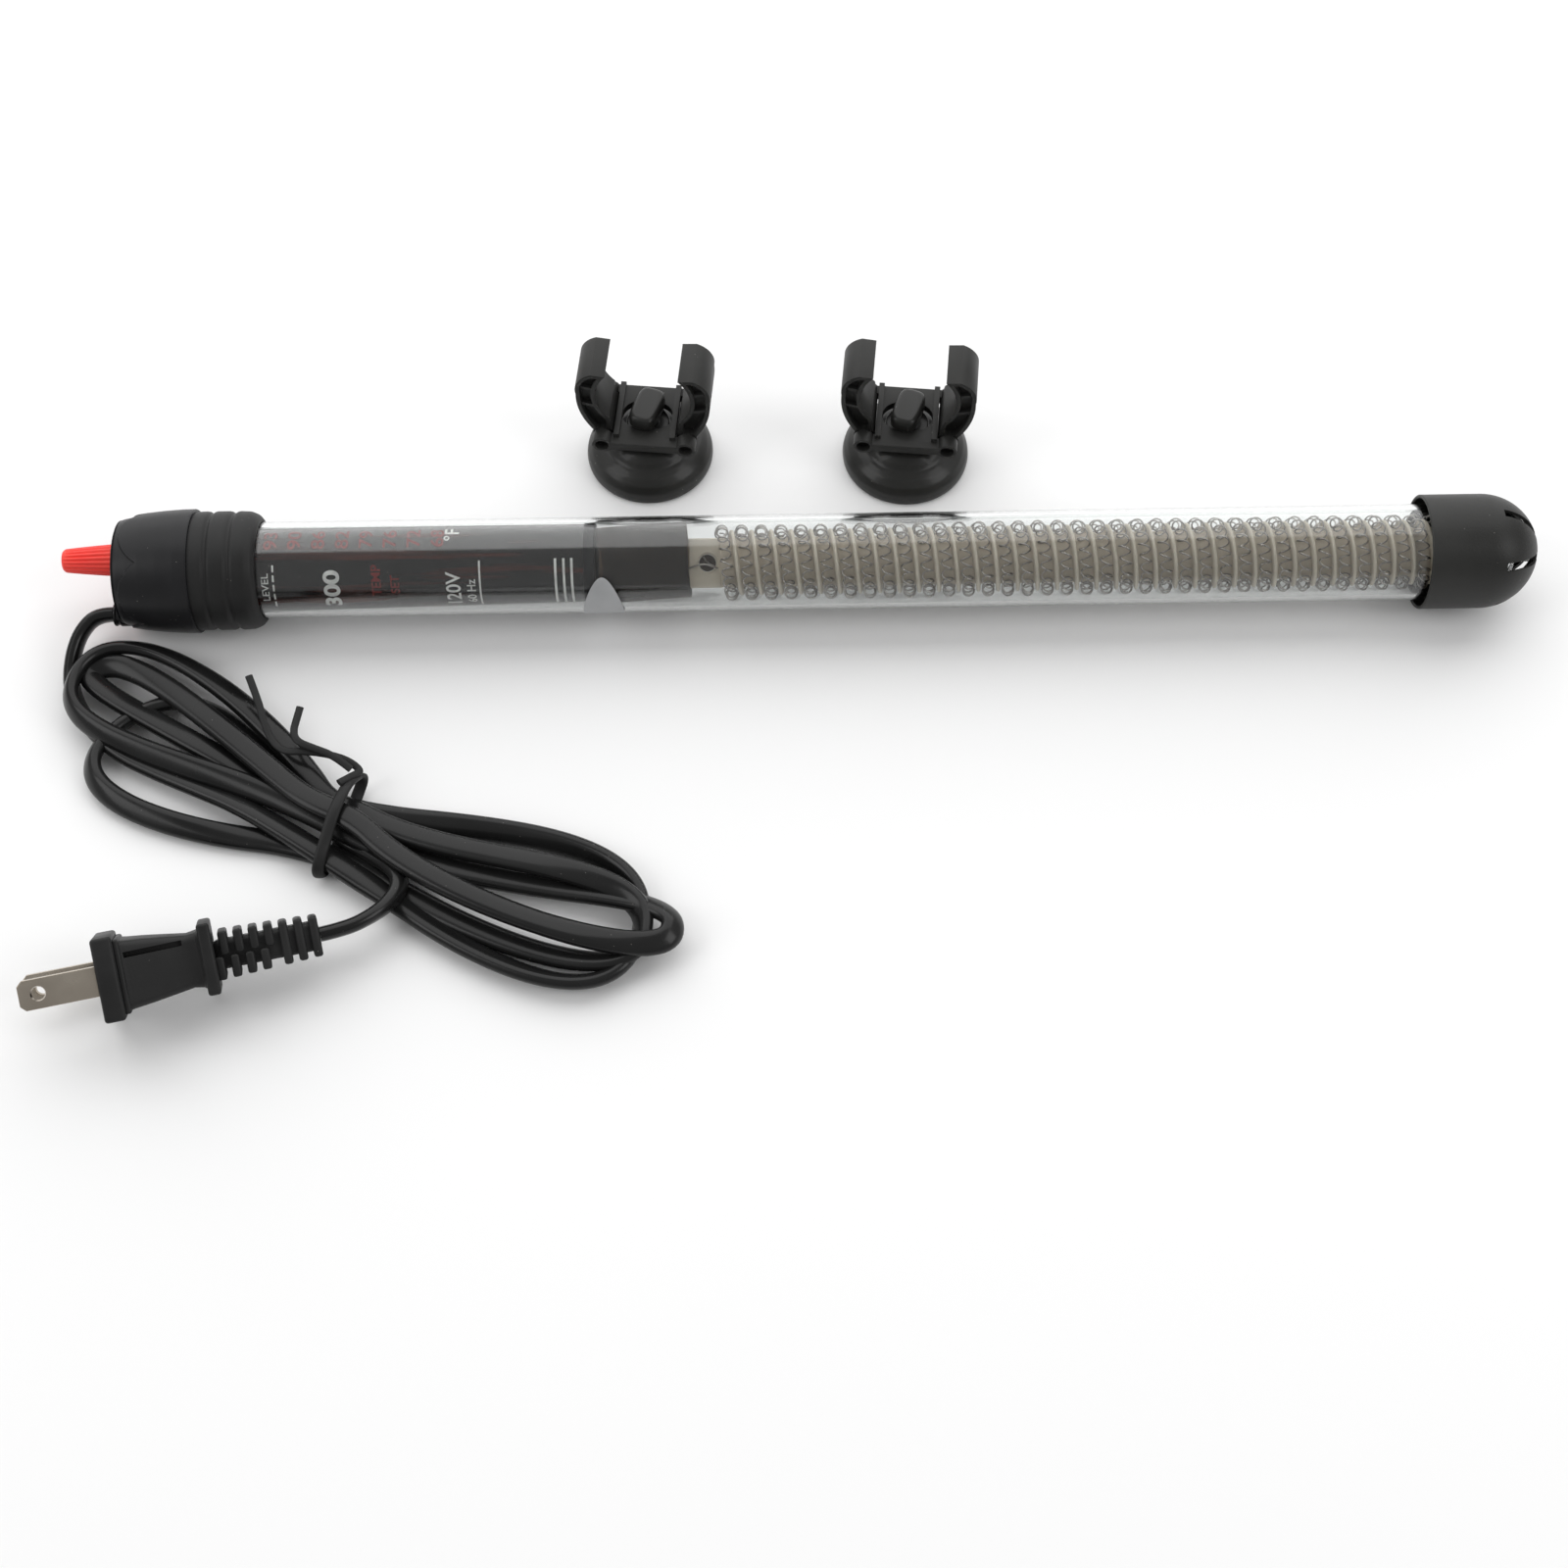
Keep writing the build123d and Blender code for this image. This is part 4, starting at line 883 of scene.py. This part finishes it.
def drumShare(x):
    return (x - drumLook["from"]) / (drumLook["to"] - drumLook["from"])


def drumPoint(x, angle, away=0.0):
    radius = drumLook["first"] + (drumLook["last"] - drumLook["first"]) * drumShare(x) + away
    turn = math.radians(angle)
    centre = Vector((x, 0, 0)) + knobSide * drumLook["lift"] * drumShare(x)
    return centre + Vector((0, -math.cos(turn), math.sin(turn))) * radius


def drumSkin(name, stations, surface, steps=144):
    points, faces = [], []
    for x, away in stations:
        points += [drumPoint(x, 360 * k / steps, away) for k in range(steps)]
    for row in range(len(stations) - 1):
        for k in range(steps):
            a, b = row * steps + k, row * steps + (k + 1) % steps
            faces.append((a, b, b + steps, a + steps))
    for k in range(steps):
        a, b = (len(stations) - 1) * steps + k, (len(stations) - 1) * steps + (k + 1) % steps
        faces.append((a, b, (k + 1) % steps, k))
    return meshPiece(name, points, faces, surface)


drum = drumSkin("thermostatHousing",
                [(-2.4, -0.2), (-2.2, 0), (20, 0), (45, 0), (73.8, 0), (73.8, -0.8), (-2.4, -0.8)],
                looks["housingBlack"])
endRing = drumSkin("housingEndRing",
                   [(73.8, 0.0), (74.0, 0.2), (76.1, 0.2), (76.4, -0.1), (76.4, -1.9), (73.8, -1.9)],
                   looks["headBlack"])
for piece, node in ((drum, "thermostat_housing"), (endRing, "housing_end_ring")):
    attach(piece, "heater")
    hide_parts(node)


def cutIntoSteps(shape):
    low = min(v.co.y for v in shape.verts)
    high = max(v.co.y for v in shape.verts)
    cut = math.ceil(low)
    while cut < high:
        bmesh.ops.bisect_plane(shape, geom=shape.verts[:] + shape.edges[:] + shape.faces[:],
                               plane_co=(0, cut, 0),
                               plane_no=(0, 1, 0))
        cut += 1.0


printRadius = 9.3   # flat print is laid out for this radius of the drum


def addWrapped(shape, points, faces, away=0.03):
    first = len(points)
    for number, vert in enumerate(shape.verts):
        vert.index = number
        degrees = math.degrees(vert.co.y / printRadius)
        points.append(drumPoint(vert.co.x, degrees, away))
    for face in shape.faces:
        faces.append(tuple(first + v.index for v in face.verts))
    shape.free()


def textShape(words, size, weight):
    data = bpy.data.curves.new("words", "FONT")
    data.body = words
    data.size = size
    data.align_x, data.align_y = "CENTER", "CENTER"
    data.offset = weight
    holder = bpy.data.objects.new("words", data)
    scene.collection.objects.link(holder)
    depsgraph = bpy.context.evaluated_depsgraph_get()
    mesh = bpy.data.meshes.new_from_object(holder.evaluated_get(depsgraph))
    bpy.data.objects.remove(holder)
    return mesh


def words(text, x, angle, size, points, faces, stretch=1.0, weight=0.06):
    shape = bmesh.new()
    shape.from_mesh(textShape(text, size, weight))
    for vert in shape.verts:
        u, v = vert.co.x * stretch, vert.co.y
        vert.co = (x - v, math.radians(angle) * printRadius + u, 0)
    cutIntoSteps(shape)
    addWrapped(shape, points, faces)


scaleLook = {"first": 3.2, "last": 40.9, "angle": 97, "size": 4.2, "stretch": 1.25}
scaleMarks = ["93", "90", "86", "82", "79", "76", "72", "68"]
redPoints, redFaces = [], []
for number, mark in enumerate(scaleMarks):
    share = number / (len(scaleMarks) - 1)
    markX = scaleLook["first"] + (scaleLook["last"] - scaleLook["first"]) * share
    words(mark, markX, scaleLook["angle"], scaleLook["size"], redPoints, redFaces, scaleLook["stretch"])
words("TEMP", 27.0, 36, 3.0, redPoints, redFaces)
words("SET", 31.2, 30, 2.8, redPoints, redFaces)
redMarks = meshPiece("redMarks", redPoints, redFaces, looks["printRed"])

whitePoints, whiteFaces = [], []
words("°F", 44.2, 102, 4.6, whitePoints, whiteFaces)
words("300", 17.0, 24, 4.9, whitePoints, whiteFaces, 1.25, 0.16)
words("120V", 44.4, 16, 4.6, whitePoints, whiteFaces)
words("LEVEL", 1.9, 30, 2.3, whitePoints, whiteFaces, 1.1, 0.02)
words("60 Hz", 48.4, 14, 2.8, whitePoints, whiteFaces, 1.0, 0.03)
whiteBars = []
for angle in (56, 43, 30, 17, 4):
    middle = math.radians(angle) * printRadius
    whiteBars.append([(3.5 + u, middle + v) for u,
                      v in ((0, -0.75), (0.42, -0.75), (0.42, 0.75), (0, 0.75))])
whiteBars.append([(50.1, -2.6), (50.5, -2.6), (50.5, 9.9), (50.1, 9.9)])
for x in (67.2, 69.1, 70.9):
    for part in range(24):
        low = -14.0 + part * 1.0
        shift = 0.0 if low < 9.6 else -1.1
        whiteBars.append([(x + shift, low), (x + 0.55 + shift, low), (x + 0.55 + shift, low + 1.0),
                          (x + shift, low + 1.0)])
for outline in whiteBars:
    shape = bmesh.new()
    shape.faces.new([shape.verts.new((u, v, 0)) for u, v in outline])
    cutIntoSteps(shape)
    addWrapped(shape, whitePoints, whiteFaces)
whiteMarks = meshPiece("whiteMarks", whitePoints, whiteFaces, looks["printWhite"])
for piece in (redMarks, whiteMarks):
    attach(piece, "heater")
print("drum made")

# smoky sleeve
smokeLook = {"radius": 8.7, "wall": 0.3, "from": 76.6, "to": 98.0, "tilt": 3.4}
tilt = math.radians(smokeLook["tilt"])
smokeAxis = Vector((1, 0, 0)) * math.cos(tilt) + knobSide * math.sin(tilt)
smokeMid = Vector(((smokeLook["from"] + smokeLook["to"]) / 2, 0, 0)) + knobSide * 0.35
halfLength = (smokeLook["to"] - smokeLook["from"]) / 2 * math.cos(tilt) - 0.4
smokeProfile = [(-halfLength, smokeLook["radius"]), (halfLength, smokeLook["radius"]),
                (halfLength, smokeLook["radius"] - smokeLook["wall"]),
                (-halfLength, smokeLook["radius"] - smokeLook["wall"])]
smoke = lathe("insulatingSleeve", smokeProfile, looks["smokeFilm"], placing(smokeMid, smokeAxis, (0, -1, 0)),
              128)
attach(smoke, "heater")
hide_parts("insulating_sleeve")

# ceramic core
coreLook = {"from": 104.7, "pitch": 4.54, "turns": 38, "root": 5.7, "fin": 7.55, "steps": 48,
            "tabFrom": 97.5, "tabWidth": 11.3, "tabThick": 3.2, "holeAt": 101.8}
finShape = [(-0.5, 0), (-0.135, 0), (-0.115, 0.15), (-0.1, 0.75), (-0.06, 0.96), (0, 1), (0.06, 0.96),
            (0.1, 0.75),
            (0.115, 0.15), (0.135, 0), (0.5, 0)]
points, faces = [], []
pitch, steps = coreLook["pitch"], coreLook["steps"]
for i in range((coreLook["turns"] - 1) * steps + 1):
    turn = 2 * math.pi * i / steps
    out = Vector((0, math.cos(turn), math.sin(turn)))
    middle = coreLook["from"] + pitch * (0.5 + i / steps)
    for along, height in finShape:
        points.append(Vector((middle + along * pitch, 0, 0)) + out * (
            coreLook["root"] + (coreLook["fin"] - coreLook["root"]) * height))
width = len(finShape)
for i in range((coreLook["turns"] - 1) * steps):
    for k in range(width - 1):
        a = i * width + k
        faces.append((a, a + 1, a + 1 + width, a + width))
thread = meshPiece("coreThread", points, faces, looks["ceramic"], 50)
coreEnd = coreLook["from"] + coreLook["pitch"] * coreLook["turns"]
barrel = lathe("coreBarrel",
               softened([(coreLook["from"], 0), (coreLook["from"], 5.6), (coreEnd, 5.6), (coreEnd, 0)],
                                      0.3, closed=False), looks["ceramic"], tubePlace, 64, closed=False)
tabPlace = (Vector((0, 0, 0)), Vector((0, -math.sin(headRoll), math.cos(headRoll))), Vector((1, 0, 0)),
            knobSide)
tabSide, tabFace = coreLook["tabWidth"] / 2, coreLook["tabThick"] / 2
tabEnd = coreLook["from"] + 0.6   # the tab runs a little way into the core
tabOutline = [(coreLook["tabFrom"], -tabSide), (tabEnd, -tabSide), (tabEnd, tabSide),
              (coreLook["tabFrom"], tabSide)]
tab = prism("coreTab", tabOutline, -tabFace, tabFace, looks["tabCeramic"], tabPlace, 0.35)
holePlace = (Vector((coreLook["holeAt"], 0, 0)), tabPlace[1], Vector((1, 0, 0)), knobSide)
drill = lathe("drill",
              [(-4, 0), (-4, 2.2), (-1.6, 2.4), (-1.1, 2.0), (1.1, 2.0), (1.6, 2.4), (4, 2.2), (4, 0)],
              looks["tabCeramic"], holePlace, 48, closed=False)
cutting = tab.modifiers.new("hole", "BOOLEAN")
cutting.operation, cutting.object, cutting.solver = "DIFFERENCE", drill, "EXACT"
bakeModifiers(tab)
bpy.data.objects.remove(drill)
# painted shade: a dark brown plug inside the tab's hole stands in for the shade there
holeShadePlug = lathe("holeShadePlug", softened([(-1.5, 0), (-1.5, 1.95), (-0.4, 1.95), (-0.4, 0)], 0.1, closed=False),
             looks["holeShadeBrown"],
             holePlace, 48, closed=False)
core = joined("ceramicCore", [thread, barrel, tab, holeShadePlug])
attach(core, "heater")
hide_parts("ceramic_core")

# heating coil: a spring wound round the core
coilLook = {"turns": 37.0, "pitch": 4.54, "from": 104.7, "coreRadius": 7.3, "springRadius": 1.28,
            "springTurns": 634.0,
            "wireRadius": 0.2, "points": 7600}


def coilTree(surface):
    tree = bpy.data.node_groups.new("woundSpring", "GeometryNodeTree")
    tree.interface.new_socket("Geometry", in_out="INPUT", socket_type="NodeSocketGeometry")
    for label in ("Turns", "Pitch", "Start", "Core radius", "Spring radius", "Spring turns", "Wire radius"):
        tree.interface.new_socket(label, in_out="INPUT", socket_type="NodeSocketFloat")
    tree.interface.new_socket("Points", in_out="INPUT", socket_type="NodeSocketInt")
    tree.interface.new_socket("Geometry", in_out="OUTPUT", socket_type="NodeSocketGeometry")
    given = tree.nodes.new("NodeGroupInput").outputs

    def maths(operation, first, second=None):
        node = tree.nodes.new("ShaderNodeMath")
        node.operation = operation
        for socket, value in zip(node.inputs, (first, second)):
            if value is None:
                continue
            if isinstance(value, (int, float)):
                socket.default_value = value
            else:
                tree.links.new(value, socket)
        return node.outputs[0]

    straight = tree.nodes.new("GeometryNodeCurvePrimitiveLine")
    straight.inputs["End"].default_value = (1, 0, 0)
    resample = tree.nodes.new("GeometryNodeResampleCurve")
    tree.links.new(straight.outputs["Curve"], resample.inputs["Curve"])
    tree.links.new(given["Points"], resample.inputs["Count"])
    index = tree.nodes.new("GeometryNodeInputIndex").outputs[0]
    share = maths("DIVIDE", index, maths("SUBTRACT", given["Points"], 1))
    turn = maths("MULTIPLY", share, maths("MULTIPLY", given["Turns"], 2 * math.pi))
    curl = maths("MULTIPLY", share, maths("MULTIPLY", given["Spring turns"], 2 * math.pi))
    radius = maths("ADD", given["Core radius"],
                   maths("MULTIPLY", given["Spring radius"], maths("COSINE", curl)))
    along = maths("ADD", given["Start"],
                  maths("MULTIPLY", share, maths("MULTIPLY", given["Turns"], given["Pitch"])))
    along = maths("ADD", along, maths("MULTIPLY", given["Spring radius"], maths("SINE", curl)))
    place = tree.nodes.new("ShaderNodeCombineXYZ")
    tree.links.new(along, place.inputs["X"])
    tree.links.new(maths("MULTIPLY", radius, maths("COSINE", turn)), place.inputs["Y"])
    tree.links.new(maths("MULTIPLY", radius, maths("SINE", turn)), place.inputs["Z"])
    move = tree.nodes.new("GeometryNodeSetPosition")
    tree.links.new(resample.outputs["Curve"], move.inputs["Geometry"])
    tree.links.new(place.outputs["Vector"], move.inputs["Position"])
    ring = tree.nodes.new("GeometryNodeCurvePrimitiveCircle")
    ring.inputs["Resolution"].default_value = 6
    tree.links.new(given["Wire radius"], ring.inputs["Radius"])
    sweep = tree.nodes.new("GeometryNodeCurveToMesh")
    tree.links.new(move.outputs["Geometry"], sweep.inputs["Curve"])
    tree.links.new(ring.outputs["Curve"], sweep.inputs["Profile Curve"])
    sweep.inputs["Fill Caps"].default_value = True
    real = tree.nodes.new("GeometryNodeRealizeInstances")
    tree.links.new(sweep.outputs["Mesh"], real.inputs["Geometry"])
    cover = tree.nodes.new("GeometryNodeSetMaterial")
    cover.inputs["Material"].default_value = surface
    tree.links.new(real.outputs["Geometry"], cover.inputs["Geometry"])
    out = tree.nodes.new("NodeGroupOutput")
    tree.links.new(cover.outputs["Geometry"], out.inputs["Geometry"])
    return tree


coil = meshPiece("heatingCoil", [(0, 0, 0), (1, 0, 0), (0, 1, 0)], [(0, 1, 2)], looks["coilMetal"])
winding = coil.modifiers.new("wound", "NODES")
winding.node_group = coilTree(looks["coilMetal"])
sizes = {"Turns": coilLook["turns"], "Pitch": coilLook["pitch"] * mm, "Start": coilLook["from"] * mm,
         "Core radius": coilLook["coreRadius"] * mm, "Spring radius": coilLook["springRadius"] * mm,
         "Spring turns": coilLook["springTurns"], "Wire radius": coilLook["wireRadius"] * mm,
         "Points": coilLook["points"]}
for item in winding.node_group.interface.items_tree:
    if item.in_out == "INPUT" and item.name in sizes:
        winding[item.identifier] = sizes[item.name]
coil.update_tag()
bakeModifiers(coil, 80)
tail = [(-1.0, 4.2, 0.6), (-1.6, 2.6, -0.2), (-0.4, 0.4, -0.6), (1.7, -0.9, -0.4), (2.5, -1.2, 0.6),
        (2.3, -1.2, 1.7),
        (1.0, -0.7, 2.2), (-0.6, -0.2, 2.0), (-2.6, -0.5, 1.9), (-4.4, -1.2, 1.8)]
hook = ribbon("hook",
              [holePlace[0] + Vector((1, 0, 0)) * u + knobSide * v + holePlace[1] * w for u, v, w in tail],
              looks["coilMetal"], 0.45, 0.45, lambda spot: holePlace[1])
coil = joined("heatingCoil", [coil, hook])
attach(coil, "heater")
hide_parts("heating_coil")
print("coil made", len(coil.data.polygons), "faces")

# holders
holderLook = {"places": {"a": (87.7, 42.8), "b": (149.7, 41.2)}, "turn": -6.0, "bevel": 0.9}
cupSide = [
    (0, 14.2), (0, 14.9), (0.35, 15.15), (1.5, 15.28), (3.0, 15.0), (4.6, 13.95), (5.8, 12.6), (6.6, 11.3),
    (6.9, 10.7), (7.2, 10.3), (8.1, 9.5), (9.0, 8.4), (9.8, 7.0), (10.2, 5.6), (10.6, 5.2), (12.65, 5.2),
    (12.65, 2.4), (15.3, 2.4), (15.3, 0), (3.6, 0), (3.3, 4.0), (2.2, 8.5), (0.9, 12.6),
]
for letter, (x, y) in holderLook["places"].items():
    centre = Vector((x, y, floorZ))
    turn = math.radians(holderLook["turn"])
    sideways = Vector((math.cos(turn), math.sin(turn), 0))
    cup = lathe("suctionCup", softened(cupSide, 0.45, closed=False), looks["cupRubber"],
                (centre, Vector((0, 0, 1)), sideways, Vector((0, 0, 1)).cross(sideways)), 128, closed=True)
    headTurn = turn + math.radians(-14)
    headSide = Vector((math.cos(headTurn), math.sin(headTurn), 0))
    head = prism("toggle", roundedOutline(6.9, 11.1, 0.55), 15.35, 19.3, looks["cupRubber"],
                 (centre, Vector((0, 0, 1)), headSide, Vector((0, 0, 1)).cross(headSide)), 1.1, 5, 0.95)
    cup = joined(f"suctionCup_{letter}", [cup, head])
    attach(cup, f"cup_{letter}")
    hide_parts(f"suction_cup_{letter}")
    for kind, body, bevel in (("bracket", "frame", 0.35), ("left_jaw", "left_claw", holderLook["bevel"]),
                              ("right_jaw", "right_claw", holderLook["bevel"])):
        piece = nodeCopy(f"{kind}Look_{letter}", f"{kind}_{letter}", looks["holderBlack"], bevel, 3)
        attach(piece, f"{body}_{letter}")
        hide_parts(f"{kind}_{letter}")
print("holders made")
